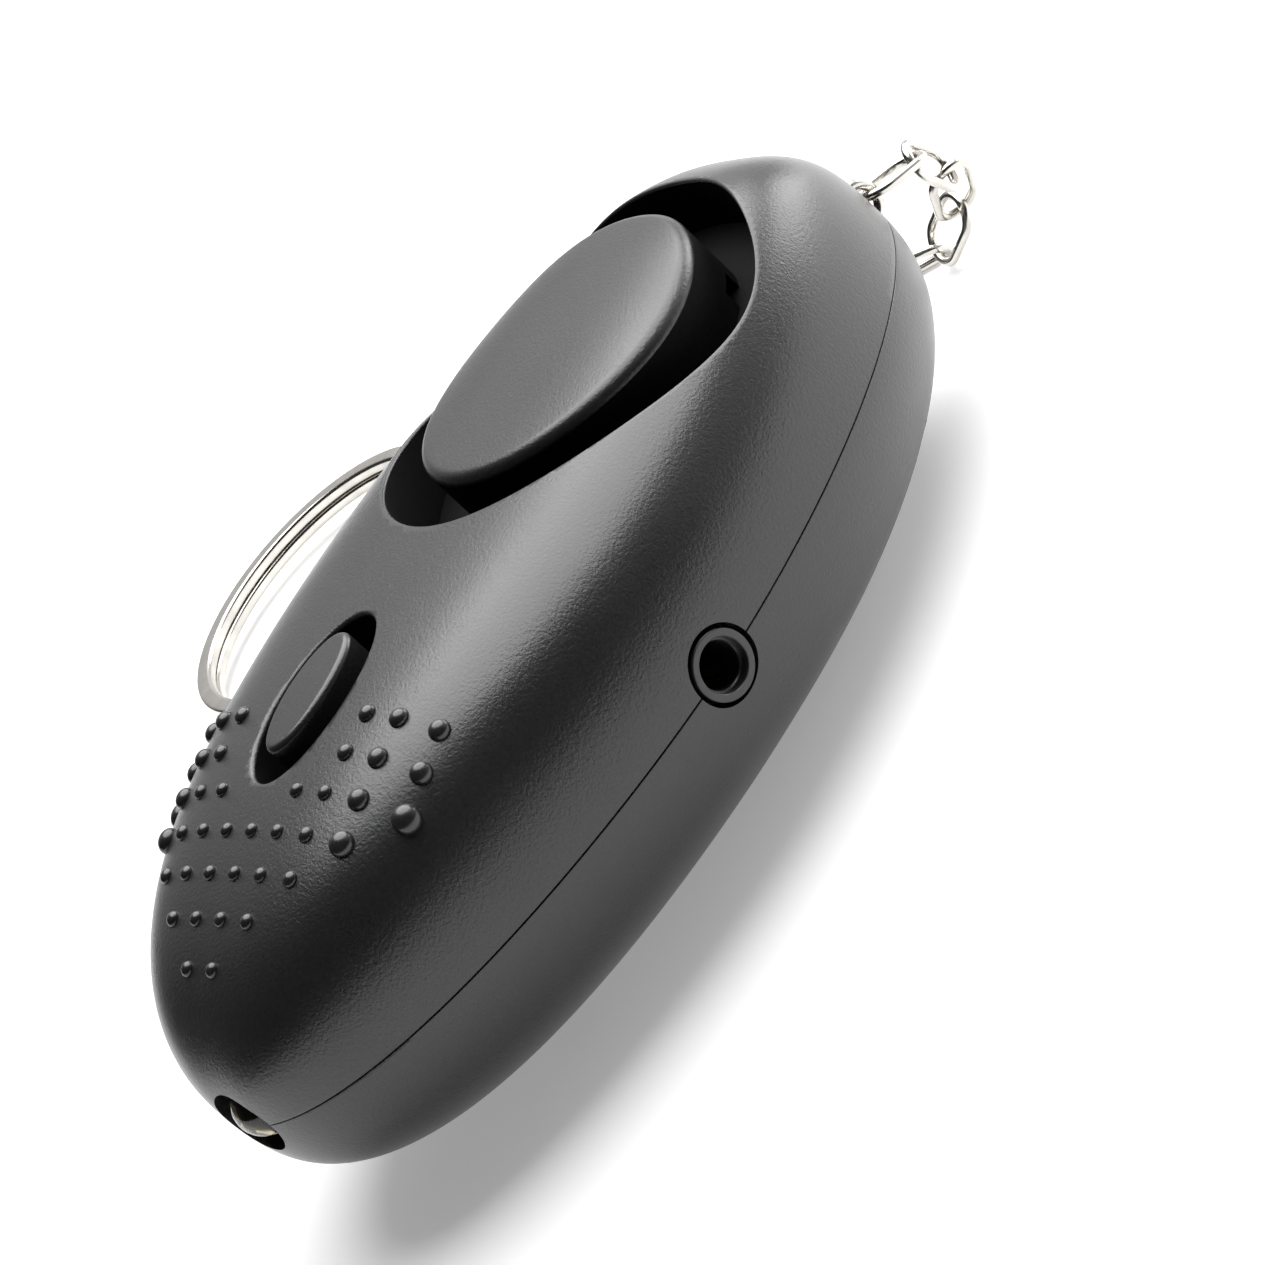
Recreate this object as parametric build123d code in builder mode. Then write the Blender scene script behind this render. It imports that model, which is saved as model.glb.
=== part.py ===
import math
import os

from build123d import *

os.makedirs("parts", exist_ok=True)

# Body outline, in millimetres
# The alarm lies on its back: +Z is its front, +Y its keyring end, +X its pin side.
body_length = 88.0
half_length = body_length / 2
half_width = 24.0
width_peak_y = -2.0
crown_height = 15.3
crown_peak_y = 10.1
belly_depth = 14.8
belly_peak_y = 5.2
rest_cut = 0.4
seam_z = belly_depth - rest_cut
end_margin = 0.35
wall = 2.0
overrun = 60.0

# Shares that shape the outline, as powers of a rounded taper
width_taper = (1.9, 1.714, 1.771, 2.148)
crown_taper = (5.188, 1.938, 4.512, 1.938)
belly_taper = (2.254, 2.744, 3.769, 2.744)
crown_side_share = 0.97
crown_top_share = 0.65
belly_side_share = 0.50
belly_top_share = 0.62
outer_stations = 20
outer_facets = 10
hollow_stations = 10
hollow_facets = 4
halvings = 40

# Siren
siren_y = 17.5
moat_radius = 17.5
moat_floor_top = seam_z + 8.6
floor_thickness = 1.5
moat_floor_low = moat_floor_top - floor_thickness
moat_wall = 1.2
floor_opening_radius = 10.5
cap_radius = 13.4
cap_proud = 0.3
cap_wall = 1.4
cap_ceiling_z = seam_z + 12.2
port_count = 8
port_width = 3.0
port_depth = 5.6
port_height = 1.6
plate_radius = 13.5
plate_thickness = 0.3
ceramic_radius = 10.0
ceramic_thickness = 0.3
gasket_thickness = 0.4
gasket_width = 2.2
collar_gap = 0.3
collar_wall = 1.2
clamp_wall = 1.6
clamp_height = 1.4

# Light button
button_y = -15.9
well_half_x = 5.0
well_half_y = 7.5
well_floor_top = seam_z + 11.4
button_half_x = 2.95
button_half_y = 5.4
button_proud = 0.8
button_travel = 0.3
button_rest_gap = 0.3
stem_radius = 1.4
stem_gap = 0.3
flange_radius = 2.4
flange_thickness = 0.6
flange_gap = 0.3

# Bumps of the thumb grip
bump_pitch_x = 3.76
bump_pitch_y = 3.32
bump_first_y = -17.4
bump_radius = 0.85
bump_sink = 0.8
bump_proud = 0.5
bump_sides = 6
bump_rows = ((2, 4), (2, 4), (1, 4), (0, 3), (0, 2), (0, 1), (0, 0))

# Pin socket
socket_y = -1.7
socket_hole_radius = 3.08
bush_radius = 2.78
bore_radius = 1.8
bore_mouth_chamfer = 0.25
socket_width = 7.0
socket_height = 5.4
socket_inner_x = 12.0
socket_shoulder_x = 20.2
socket_face_x = 23.6
bore_end_x = 12.9
contact_width = 1.2
contact_thickness = 0.3
contact_length = 7.0
contact_far_x = 21.4
contact_clearance = 0.05

# Lamp
led_radius = 2.5
led_flange_radius = 2.9
dome_facets = 4
led_flange_thickness = 1.0
led_base_y = -39.6
led_tip_y = -44.3
led_hole_radius = 3.1
led_seat_radius = 2.6
led_seat_y = -42.0
led_lead_side = 0.5
led_lead_pitch = 2.54
led_lead_end_y = -35.4

# Circuit board and what stands on it
board_top = seam_z - socket_height / 2
board_thickness = 1.2
board_margin = 0.6
board_low_y = -37.0
board_high_y = 9.0
boss_radius = 3.4
boss_gap = 0.3
switch_side = 6.0
switch_height = 3.4
plunger_radius = 1.7
plunger_gap = 0.1
plunger_height = 1.0
plunger_sink = 0.8
coil_x = -12.5
coil_y = -5.0
coil_flange_radius = 3.6
coil_core_radius = 2.4
coil_height = 4.6
coil_flange = 0.8
chip_length = 5.0
chip_width = 4.0
chip_height = 1.5
chip_x = 0.0
chip_y = -5.5
transistor_length = 3.0
transistor_width = 1.6
transistor_height = 1.1
transistor_x = -7.5
transistor_y = -16.0
resistor_length = 2.0
resistor_width = 1.25
resistor_height = 0.5
resistor_x = 7.0
resistor_pitch = 2.6
resistor_first_y = -12.0
resistor_count = 4
capacitor_radius = 2.0
capacitor_height = 4.2
capacitor_spots = ((-5.5, 3.0), (6.0, 3.5))
board_post_radius = 2.2
board_post_spots = ((-7.0, -31.0), (7.0, -31.0))
board_rest_y = 6.5
board_screw_head_radius = 1.8
board_screw_head = 1.2
board_screw_radius = 0.8
board_screw_length = 5.0
screw_hole_gap = 0.05

# Screws that join the two shells
shell_screw_spots = ((-8.0, -24.0), (8.0, -24.0), (0.0, 35.0))
shell_screw_seat_z = 8.0
shell_screw_head_radius = 2.1
shell_screw_head = 1.4
shell_screw_radius = 1.0
shell_screw_length = 12.0
counterbore_gap = 0.25
front_boss_radius = 2.8

# Batteries, their contacts and their door
cell_radius = 5.8
cell_height = 5.4
cell_count = 3
cell_step = 0.4
cell_y = 20.0
cell_z = 9.1
stack_half = cell_height * cell_count / 2
spring_room = 2.2
spring_wire = 0.6
spring_radius = 3.0
spring_coils = 2
spring_wire_sides = 4
contact_plate = 0.4
contact_plate_half = 4.6
lead_side = 0.6
lead_rise = 0.8
lead_height = seam_z + lead_rise
lead_end_y = 8.0
piezo_lead_spots = ((2.0, 8.4), (-4.0, 6.5))
tray_wall = 1.2
tray_inner_half_y = 6.1
tray_top = 13.6
door_half_x = 12.0
door_half_y = 9.0
door_thickness = 1.6
door_lip = 1.2
door_gap = 0.25
door_opening_half_x = 8.9
door_screw_y = 12.7
door_boss_radius = 1.9
door_boss_top = 5.0
door_screw_radius = 0.8
door_screw_head_radius = 1.5
door_screw_head = 0.6
door_screw_length = 4.0

# Keyring end
pocket_half_x = 3.3
pocket_half_z = 2.7
pocket_floor_y = 38.4
block_y = 36.4
eye_pin_radius = 0.6
eye_pin_y = 41.75
eye_pin_half = 5.0
eye_wire = 0.9
eye_low_y = 40.2
eye_high_y = 46.2
eye_outer_width = 4.4

# Chain
link_wire = 0.8
link_length = 7.2
link_width = 4.4
link_play = 0.25
link_pitch = link_length - link_wire - link_wire - link_play
link_roll = 45.0
hang_headings = (95.0, 131.0, 175.0, 203.0)
hang_shares = (0.1299, 0.33125, 0.32202)
hang_rolls = (0.0, 93.0, 165.0, 225.0)
floor_heading = 207.0
floor_link_count = 11
ring_side_roll = 20.0
wire_sides = 6
wire_bends = 6
eye_play = 0.15

# Split ring and pull pin
ring_radius = 15.0
ring_thick = 1.6
ring_height = 2.2
ring_groove = 0.3
ring_play = 1.15
pin_heading = -45.0
pin_radius = 1.75
pin_length = 12.0
grip_length = 9.0
grip_radius = 2.2
lug_hole_radius = 1.6
lug_wall = 0.6
lug_thickness = 2.0
grip_groove = 0.35
grip_groove_width = 0.9
grip_groove_count = 2


def taper(y, peak_y, powers):
    """Share of the full size that is left at a station along the body."""
    if y > peak_y:
        share = (y - peak_y) / (half_length - peak_y)
        return (1 - share ** powers[0]) ** (1 / powers[1])
    share = (peak_y - y) / (peak_y + half_length)
    return (1 - share ** powers[2]) ** (1 / powers[3])


def half_sizes(y, inset, front):
    """Half width and rise of one half of the body at a station, inset from the outside."""
    outer_y = y * half_length / (half_length - inset)
    wide = half_width * taper(outer_y, width_peak_y, width_taper) - inset
    if front:
        return wide, crown_height * taper(outer_y, crown_peak_y, crown_taper) - inset
    return wide, inset - belly_depth * taper(outer_y, belly_peak_y, belly_taper)


def section_plane(y):
    """The plane across the body at a station, with the seam as its own X."""
    return Plane(origin=(0, y, seam_z), x_dir=(1, 0, 0), z_dir=(0, -1, 0))


def curve_share(t, side_share, top_share):
    """Shares of half width and rise along a section's quarter curve."""
    rest = 1 - t
    along_x = rest**3 + 3 * rest**2 * t + 3 * rest * t**2 * top_share
    along_z = 3 * rest**2 * t * side_share + 3 * rest * t**2 + t**3
    return along_x, along_z


def half_egg(inset, front, stations, facets):
    """The front or back half of the body's egg in fine facets, inset from the outside."""
    side_share = crown_side_share if front else belly_side_share
    top_share = crown_top_share if front else belly_top_share
    reach = half_length - inset - end_margin
    sections = []
    for station in range(stations + 1):
        y = -reach * math.cos(math.pi * station / stations)
        wide, rise = half_sizes(y, inset, front)
        right = []
        for place in range(facets + 1):
            share_x, share_z = curve_share(place / facets, side_share, top_share)
            right.append((wide * share_x, rise * share_z))
        left = [(-x, z) for x, z in reversed(right[:-1])]
        with BuildSketch(section_plane(y)) as section:
            with BuildLine():
                Polyline(*right, *left, close=True)
            make_face()
        sections.append(section.sketch)
    with BuildPart() as solid:
        loft(sections=sections, ruled=True)
    return solid.part


def outer_egg(inset, front):
    """One half of the body's outside, or of a face that stands proud of it."""
    return half_egg(inset, front, outer_stations, outer_facets)


def hollow_egg(inset, front):
    """The room inside one half."""
    return half_egg(inset, front, hollow_stations, hollow_facets)


def crown_at(x, y):
    """Height above the rest face of the front's surface over a point."""
    wide, high = half_sizes(y, 0, True)
    low_t, high_t = 0.0, 1.0
    for _ in range(halvings):
        t = (low_t + high_t) / 2
        share_x, share_z = curve_share(t, crown_side_share, crown_top_share)
        if wide * share_x > abs(x):
            low_t = t
        else:
            high_t = t
    return seam_z + high * share_z


def column(radius, spots, low, high):
    """Round posts between two heights."""
    with BuildPart() as posts:
        with BuildSketch(Plane.XY.offset(low)):
            with Locations(*spots):
                Circle(radius)
        extrude(amount=high - low)
    return posts.part


def oval_column(radius_x, radius_y, low, high):
    """An oval post at the button between two heights."""
    with BuildPart() as post:
        with BuildSketch(Plane.XY.offset(low)):
            with Locations((0, button_y)):
                Ellipse(radius_x, radius_y)
        extrude(amount=high - low)
    return post.part


def brick(low_corner, high_corner):
    """A box between two opposite corners."""
    size = [high - low for low, high in zip(low_corner, high_corner)]
    with BuildPart() as block:
        with Locations(low_corner):
            Box(*size, align=(Align.MIN, Align.MIN, Align.MIN))
    return block.part


def rod(radius, start, end):
    """A round rod between two points."""
    span = Vector(*end) - Vector(*start)
    with BuildPart() as bar:
        with BuildSketch(Plane(origin=start, z_dir=span)):
            Circle(radius)
        extrude(amount=span.length)
    return bar.part


def square_wire(points, side):
    """A stiff lead of square wire along a bent line."""
    first = Vector(*points[1]) - Vector(*points[0])
    with BuildPart() as lead:
        with BuildLine() as path:
            Polyline(*points)
        with BuildSketch(Plane(origin=points[0], z_dir=first)):
            Rectangle(side, side)
        sweep(path=path.line, transition=Transition.RIGHT)
    return lead.part


def wire_oval(length, width, wire):
    """A closed oval of wire, long along its own X, with its round ends in short straights."""
    bend = (width - wire) / 2
    straight = (length - width) / 2
    right = []
    for step in range(wire_bends + 1):
        turn = math.pi * (step / wire_bends - 1 / 2)
        right.append((straight + bend * math.cos(turn), bend * math.sin(turn)))
    left = [(-x, -y) for x, y in right]
    with BuildPart() as oval:
        with BuildLine() as path:
            Polyline((0, -bend), *right, *left, (0, -bend))
        with BuildSketch(Plane(origin=(0, -bend, 0), z_dir=(1, 0, 0))):
            RegularPolygon(wire / 2, wire_sides)
        sweep(path=path.line, transition=Transition.RIGHT)
    return oval.part


def hand_over(solid, name):
    """Labels one finished piece and writes its file."""
    solid.label = name
    export_step(solid, "parts/" + name + ".step")


# Sizes that follow from the ones above
siren_spot = ((0, siren_y),)
button_spot = ((0, button_y),)
collar_inner = plate_radius + collar_gap
collar_outer = collar_inner + collar_wall
plate_low = moat_floor_low - gasket_thickness - plate_thickness
ceramic_low = plate_low - ceramic_thickness
clamp_low = plate_low - clamp_height
collar_low = clamp_low - collar_wall
well_floor_low = well_floor_top - floor_thickness
board_low = board_top - board_thickness
plunger_top = board_top + switch_height + plunger_height
screw_tip_z = shell_screw_seat_z + shell_screw_length
led_wall_y = led_base_y - led_flange_thickness
pocket = brick(
    (-pocket_half_x, pocket_floor_y, seam_z - pocket_half_z),
    (pocket_half_x, overrun, seam_z + pocket_half_z),
)
eye_groove = rod(eye_pin_radius, (-eye_pin_half, eye_pin_y, seam_z), (eye_pin_half, eye_pin_y, seam_z))
pin_hole = rod(socket_hole_radius, (socket_shoulder_x, socket_y, seam_z), (overrun, socket_y, seam_z))
lamp_hole = rod(led_hole_radius, (0, -overrun, seam_z), (0, led_seat_y, seam_z))
lamp_seat = rod(led_seat_radius, (0, led_seat_y, seam_z), (0, led_wall_y, seam_z))
shared_cuts = [pocket, eye_groove, pin_hole, lamp_hole, lamp_seat]
key_block = brick((-overrun, block_y, -overrun), (overrun, overrun, overrun))
lamp_block = brick((-overrun, -overrun, -overrun), (overrun, led_wall_y, overrun))
crown_solid = outer_egg(0, True)
crown_void = hollow_egg(wall, True) - [key_block, lamp_block]
belly_solid = outer_egg(0, False) & brick((-overrun, -overrun, 0), (overrun, overrun, overrun))
belly_void = hollow_egg(wall, False) - [key_block, lamp_block]

# Front shell
bumps = []
for row, (first, last) in enumerate(bump_rows):
    for place in range(first, last + 1):
        bump_x = bump_pitch_x * (place + 1 / 2)
        bump_y = bump_first_y - bump_pitch_y * row
        bump_top = crown_at(bump_x, bump_y) + bump_proud
        with BuildPart() as bump_pair:
            with BuildSketch(Plane.XY.offset(bump_top)):
                with Locations((bump_x, bump_y), (-bump_x, bump_y)):
                    RegularPolygon(bump_radius, bump_sides)
            extrude(amount=-bump_proud - bump_sink)
        bumps += bump_pair.part.solids()
front_posts = [
    column(moat_radius + moat_wall, siren_spot, moat_floor_low, overrun),
    oval_column(well_half_x + moat_wall, well_half_y + moat_wall, well_floor_low, overrun),
    column(front_boss_radius, shell_screw_spots, seam_z, overrun),
]
front_cuts = [
    column(moat_radius, siren_spot, moat_floor_top, overrun),
    column(floor_opening_radius, siren_spot, seam_z, overrun),
    oval_column(well_half_x, well_half_y, well_floor_top, overrun),
    column(stem_radius + stem_gap, button_spot, seam_z, overrun),
    column(shell_screw_radius, shell_screw_spots, seam_z, screw_tip_z),
]
collar = column(collar_outer, siren_spot, collar_low, moat_floor_low)
collar_bore = column(collar_inner, siren_spot, collar_low, moat_floor_low)
with BuildPart() as front_shell:
    add(crown_solid - crown_void)
    for post in front_posts:
        add(crown_solid & post)
    add(collar)
    add(front_cuts + [collar_bore] + shared_cuts, mode=Mode.SUBTRACT)
    add(bumps)
hand_over(front_shell.part, "front_shell")

# Rear shell and its battery tray
door_low_y = cell_y - door_half_y
door_high_y = cell_y + door_half_y
tray_low_x = -stack_half - spring_room
tray_high_x = stack_half + contact_plate
lip_solid = belly_solid - hollow_egg(door_thickness + door_lip, False)
door_layer = belly_solid - hollow_egg(door_thickness, False)
door_block = brick((-door_half_x, door_low_y, -overrun), (door_half_x, door_high_y, overrun))
door_room = brick(
    (-door_half_x - door_gap, door_low_y - door_gap, -overrun),
    (door_half_x + door_gap, door_high_y + door_gap, seam_z),
)
lip_block = brick(
    (-door_half_x - door_lip, door_low_y - door_lip, -overrun),
    (door_half_x + door_lip, door_high_y + door_lip, seam_z),
)
tray_block = brick(
    (tray_low_x - tray_wall, cell_y - tray_inner_half_y - tray_wall, 0),
    (tray_high_x + tray_wall, cell_y + tray_inner_half_y + tray_wall, tray_top),
)
tray_room = brick(
    (tray_low_x, cell_y - tray_inner_half_y, 0),
    (tray_high_x, cell_y + tray_inner_half_y, tray_top),
)
cell_window = brick(
    (-door_opening_half_x, cell_y - tray_inner_half_y, -overrun),
    (door_opening_half_x, cell_y + tray_inner_half_y, seam_z),
)
with BuildPart() as rear_shell:
    add(belly_solid - belly_void)
    add(belly_solid & column(boss_radius, shell_screw_spots, 0, seam_z))
    add(belly_solid & column(board_post_radius, board_post_spots + ((0, board_rest_y),), 0, board_low))
    add(belly_solid & column(door_boss_radius, ((0, door_screw_y),), 0, door_boss_top))
    add(belly_solid & (tray_block - tray_room))
    add(lip_solid & lip_block)
    add([
        cell_window,
        column(shell_screw_radius + screw_hole_gap, shell_screw_spots, 0, seam_z),
        column(shell_screw_head_radius + counterbore_gap, shell_screw_spots, 0, shell_screw_seat_z),
        column(board_screw_radius, board_post_spots, board_top - board_screw_length, board_low),
        column(door_screw_radius, ((0, door_screw_y),), 0, door_screw_length),
        door_layer & door_room,
    ] + shared_cuts, mode=Mode.SUBTRACT)
hand_over(rear_shell.part, "rear_shell")

# Battery door with its screw
with BuildPart() as battery_door:
    add(door_layer & door_block)
    add([
        column(door_screw_head_radius + screw_hole_gap, ((0, door_screw_y),), 0, door_screw_head),
        column(door_screw_radius + screw_hole_gap, ((0, door_screw_y),), 0, seam_z),
    ], mode=Mode.SUBTRACT)
hand_over(battery_door.part, "battery_door")

with BuildPart() as door_screw:
    add(column(door_screw_head_radius, ((0, door_screw_y),), 0, door_screw_head))
    add(column(door_screw_radius, ((0, door_screw_y),), door_screw_head, door_screw_length))
hand_over(door_screw.part, "door_screw")

# Screws of the shells and the board
with BuildPart() as shell_screws:
    add(column(
        shell_screw_head_radius, shell_screw_spots, shell_screw_seat_z - shell_screw_head, shell_screw_seat_z))
    add(column(shell_screw_radius, shell_screw_spots, shell_screw_seat_z, screw_tip_z))
hand_over(shell_screws.part, "shell_screws")

with BuildPart() as board_screws:
    add(column(board_screw_head_radius, board_post_spots, board_top, board_top + board_screw_head))
    add(column(board_screw_radius, board_post_spots, board_top - board_screw_length, board_top))
hand_over(board_screws.part, "board_screws")

# Siren cap on the moat's floor
with BuildPart() as siren_cap:
    add(outer_egg(-cap_proud, True) & column(cap_radius, siren_spot, moat_floor_top, overrun))
    add(column(cap_radius - cap_wall, siren_spot, moat_floor_top, cap_ceiling_z), mode=Mode.SUBTRACT)
    with BuildSketch(Plane.XY.offset(moat_floor_top)):
        with Locations((0, siren_y)):
            with PolarLocations(cap_radius, port_count):
                Rectangle(port_depth, port_width)
    extrude(amount=port_height, mode=Mode.SUBTRACT)
hand_over(siren_cap.part, "siren_cap")

# Piezo sounder under the moat's floor
with BuildPart() as piezo_gasket:
    add(column(plate_radius, siren_spot, moat_floor_low - gasket_thickness, moat_floor_low))
    add(column(plate_radius - gasket_width, siren_spot, 0, overrun), mode=Mode.SUBTRACT)
hand_over(piezo_gasket.part, "piezo_gasket")

with BuildPart() as piezo_plate:
    add(column(plate_radius, siren_spot, plate_low, plate_low + plate_thickness))
hand_over(piezo_plate.part, "piezo_plate")

with BuildPart() as piezo_ceramic:
    add(column(ceramic_radius, siren_spot, ceramic_low, plate_low))
hand_over(piezo_ceramic.part, "piezo_ceramic")

with BuildPart() as piezo_clamp_ring:
    add(column(collar_inner, siren_spot, clamp_low, plate_low))
    add(column(collar_inner - clamp_wall, siren_spot, 0, overrun), mode=Mode.SUBTRACT)
hand_over(piezo_clamp_ring.part, "piezo_clamp_ring")

with BuildPart() as piezo_leads:
    for (lead_spot_x, lead_spot_y), lead_top in zip(piezo_lead_spots, (ceramic_low, plate_low)):
        add(square_wire(
            ((lead_spot_x, lead_spot_y, board_top), (lead_spot_x, lead_spot_y, lead_top)), lead_side))
hand_over(piezo_leads.part, "piezo_leads")

# Light button, switch and plunger
button_low = well_floor_top + button_travel + button_rest_gap
flange_high = well_floor_low - flange_gap
with BuildPart() as light_button:
    add(outer_egg(-button_proud, True) & oval_column(button_half_x, button_half_y, button_low, overrun))
    add(column(stem_radius, button_spot, plunger_top, button_low))
    add(column(flange_radius, button_spot, flange_high - flange_thickness, flange_high))
hand_over(light_button.part, "light_button")

plunger_low = board_top + switch_height - plunger_sink
with BuildPart() as switch_plunger:
    add(column(plunger_radius, button_spot, plunger_low, plunger_top))
hand_over(switch_plunger.part, "switch_plunger")

with BuildPart() as button_switch:
    with Locations((0, button_y, board_top)):
        Box(switch_side, switch_side, switch_height, align=(Align.CENTER, Align.CENTER, Align.MIN))
    add(column(plunger_radius + plunger_gap, button_spot, plunger_low - button_travel - plunger_gap, overrun),
        mode=Mode.SUBTRACT)
hand_over(button_switch.part, "button_switch")

# Pin socket
socket_low = (socket_inner_x, socket_y - socket_width / 2, board_top)
socket_high = (socket_shoulder_x, socket_y + socket_width / 2, seam_z + socket_height / 2)
contact_near_x = contact_far_x - contact_length
contact_low_z = bore_radius + contact_clearance
contact_high_z = contact_low_z + contact_thickness
contacts = [
    brick(
        (contact_near_x, socket_y - contact_width / 2, seam_z + contact_low_z),
        (contact_far_x, socket_y + contact_width / 2, seam_z + contact_high_z),
    ),
    brick(
        (contact_near_x, socket_y - contact_width / 2, seam_z - contact_high_z),
        (contact_far_x, socket_y + contact_width / 2, seam_z - contact_low_z),
    ),
]
contact_slot = brick(
    (contact_near_x, socket_y - contact_width / 2, seam_z - contact_high_z),
    (contact_far_x, socket_y + contact_width / 2, seam_z + contact_high_z),
)
with BuildPart() as pin_socket:
    add(brick(socket_low, socket_high))
    add(rod(bush_radius, (socket_shoulder_x, socket_y, seam_z), (socket_face_x, socket_y, seam_z)))
    add([rod(bore_radius, (bore_end_x, socket_y, seam_z), (overrun, socket_y, seam_z)), contact_slot],
        mode=Mode.SUBTRACT)
    chamfer(pin_socket.edges().filter_by(GeomType.CIRCLE).group_by(Axis.X)[-1].sort_by(SortBy.RADIUS)[0],
        length=bore_mouth_chamfer)
hand_over(pin_socket.part, "pin_socket")

with BuildPart() as socket_contacts:
    add(contacts)
hand_over(socket_contacts.part, "socket_contacts")

# Lamp
with BuildPart() as led_lens:
    add(rod(led_flange_radius, (0, led_base_y, seam_z), (0, led_wall_y, seam_z)))
    add(rod(led_radius, (0, led_wall_y, seam_z), (0, led_tip_y + led_radius, seam_z)))
    with BuildSketch(Plane(origin=(0, led_tip_y + led_radius, seam_z), x_dir=(1, 0, 0), z_dir=(0, 0, 1))):
        with BuildLine():
            Polyline(*[
                (
                    led_radius * math.sin(math.pi / 2 * step / dome_facets),
                    -led_radius * math.cos(math.pi / 2 * step / dome_facets),
                )
                for step in range(dome_facets + 1)
            ], (0, 0), close=True)
        make_face()
    revolve(axis=Axis((0, 0, seam_z), (0, 1, 0)))
hand_over(led_lens.part, "led_lens")

with BuildPart() as led_leads:
    for lead_side_x in (-led_lead_pitch / 2, led_lead_pitch / 2):
        add(square_wire(
            (
                (lead_side_x, led_base_y, seam_z),
                (lead_side_x, led_lead_end_y, seam_z),
                (lead_side_x, led_lead_end_y, board_top),
            ),
            led_lead_side,
        ))
hand_over(led_leads.part, "led_leads")

# Circuit board and its components
with BuildPart() as circuit_board:
    add(hollow_egg(wall + board_margin, False) & brick((-overrun, board_low_y, board_low), (overrun, board_high_y, board_top)))
    add([
        column(boss_radius + boss_gap, shell_screw_spots, 0, overrun),
        column(board_screw_radius + screw_hole_gap, board_post_spots, 0, overrun),
        brick(
            (socket_shoulder_x - boss_gap, socket_y - socket_hole_radius - boss_gap, 0),
            (overrun, socket_y + socket_hole_radius + boss_gap, overrun),
        ),
    ], mode=Mode.SUBTRACT)
hand_over(circuit_board.part, "circuit_board")

with BuildPart() as step_up_coil:
    coil_spot = ((coil_x, coil_y),)
    add(column(coil_flange_radius, coil_spot, board_top, board_top + coil_flange))
    add(column(coil_core_radius, coil_spot, board_top, board_top + coil_height))
    add(column(coil_flange_radius, coil_spot, board_top + coil_height - coil_flange, board_top + coil_height))
hand_over(step_up_coil.part, "step_up_coil")

with BuildPart() as driver_chip:
    with Locations((chip_x, chip_y, board_top)):
        Box(chip_length, chip_width, chip_height, align=(Align.CENTER, Align.CENTER, Align.MIN))
hand_over(driver_chip.part, "driver_chip")

with BuildPart() as transistor:
    with Locations((transistor_x, transistor_y, board_top)):
        Box(transistor_length, transistor_width, transistor_height, align=(Align.CENTER, Align.CENTER, Align.MIN))
hand_over(transistor.part, "transistor")

with BuildPart() as chip_resistors:
    for place in range(resistor_count):
        with Locations((resistor_x, resistor_first_y + resistor_pitch * place, board_top)):
            Box(resistor_length, resistor_width, resistor_height, align=(Align.CENTER, Align.CENTER, Align.MIN))
hand_over(chip_resistors.part, "chip_resistors")

with BuildPart() as capacitors:
    add(column(capacitor_radius, capacitor_spots, board_top, board_top + capacitor_height))
hand_over(capacitors.part, "capacitors")

# Batteries and their contacts
cells = []
for place in range(cell_count):
    cell_x = -stack_half + cell_height * place
    cap_x = cell_x + cell_height - cell_step
    with BuildPart() as cell:
        add(rod(cell_radius, (cell_x, cell_y, cell_z), (cap_x, cell_y, cell_z)))
        add(rod(cell_radius - cell_step, (cap_x, cell_y, cell_z), (cell_x + cell_height, cell_y, cell_z)))
    cells += cell.part.solids()
hand_over(Compound(cells), "button_cells")

with BuildPart() as battery_plate:
    add(brick(
        (stack_half, cell_y - contact_plate_half, cell_z - contact_plate_half),
        (tray_high_x, cell_y + contact_plate_half, cell_z + contact_plate_half),
    ))
hand_over(battery_plate.part, "battery_plate")

spring_low_x = tray_low_x + spring_wire / 2
with BuildPart() as battery_spring:
    with BuildLine() as spring_path:
        Helix(
            pitch=(spring_room - spring_wire) / spring_coils,
            height=spring_room - spring_wire,
            radius=spring_radius,
            center=(spring_low_x, cell_y, cell_z),
            direction=(1, 0, 0),
        )
    with BuildSketch(Plane(origin=spring_path.line @ 0, z_dir=spring_path.line % 0)):
        RegularPolygon(spring_wire / 2, spring_wire_sides)
    sweep(path=spring_path.line, is_frenet=True)
hand_over(battery_spring.part, "battery_spring")

with BuildPart() as battery_leads:
    for lead_from_x, lead_from_z in (
        (tray_low_x + spring_wire / 2, cell_z + spring_radius + spring_wire / 2),
        (stack_half + contact_plate / 2, cell_z + contact_plate_half),
    ):
        add(square_wire(
            (
                (lead_from_x, cell_y, lead_from_z),
                (lead_from_x, cell_y, lead_height),
                (lead_from_x, lead_end_y, lead_height),
                (lead_from_x, lead_end_y, board_top),
            ),
            contact_plate,
        ))
hand_over(battery_leads.part, "battery_leads")

# Keyring end
with BuildPart() as eye_pin:
    add(eye_groove)
hand_over(eye_pin.part, "eye_pin")

eye_middle_y = (eye_low_y + eye_high_y) / 2
with BuildPart() as chain_eye:
    with Locations(Plane(origin=(0, eye_middle_y, seam_z), x_dir=(0, 1, 0), z_dir=(1, 0, 0))):
        add(wire_oval(eye_high_y - eye_low_y, eye_outer_width, eye_wire))
hand_over(chain_eye.part, "chain_eye")

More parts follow.
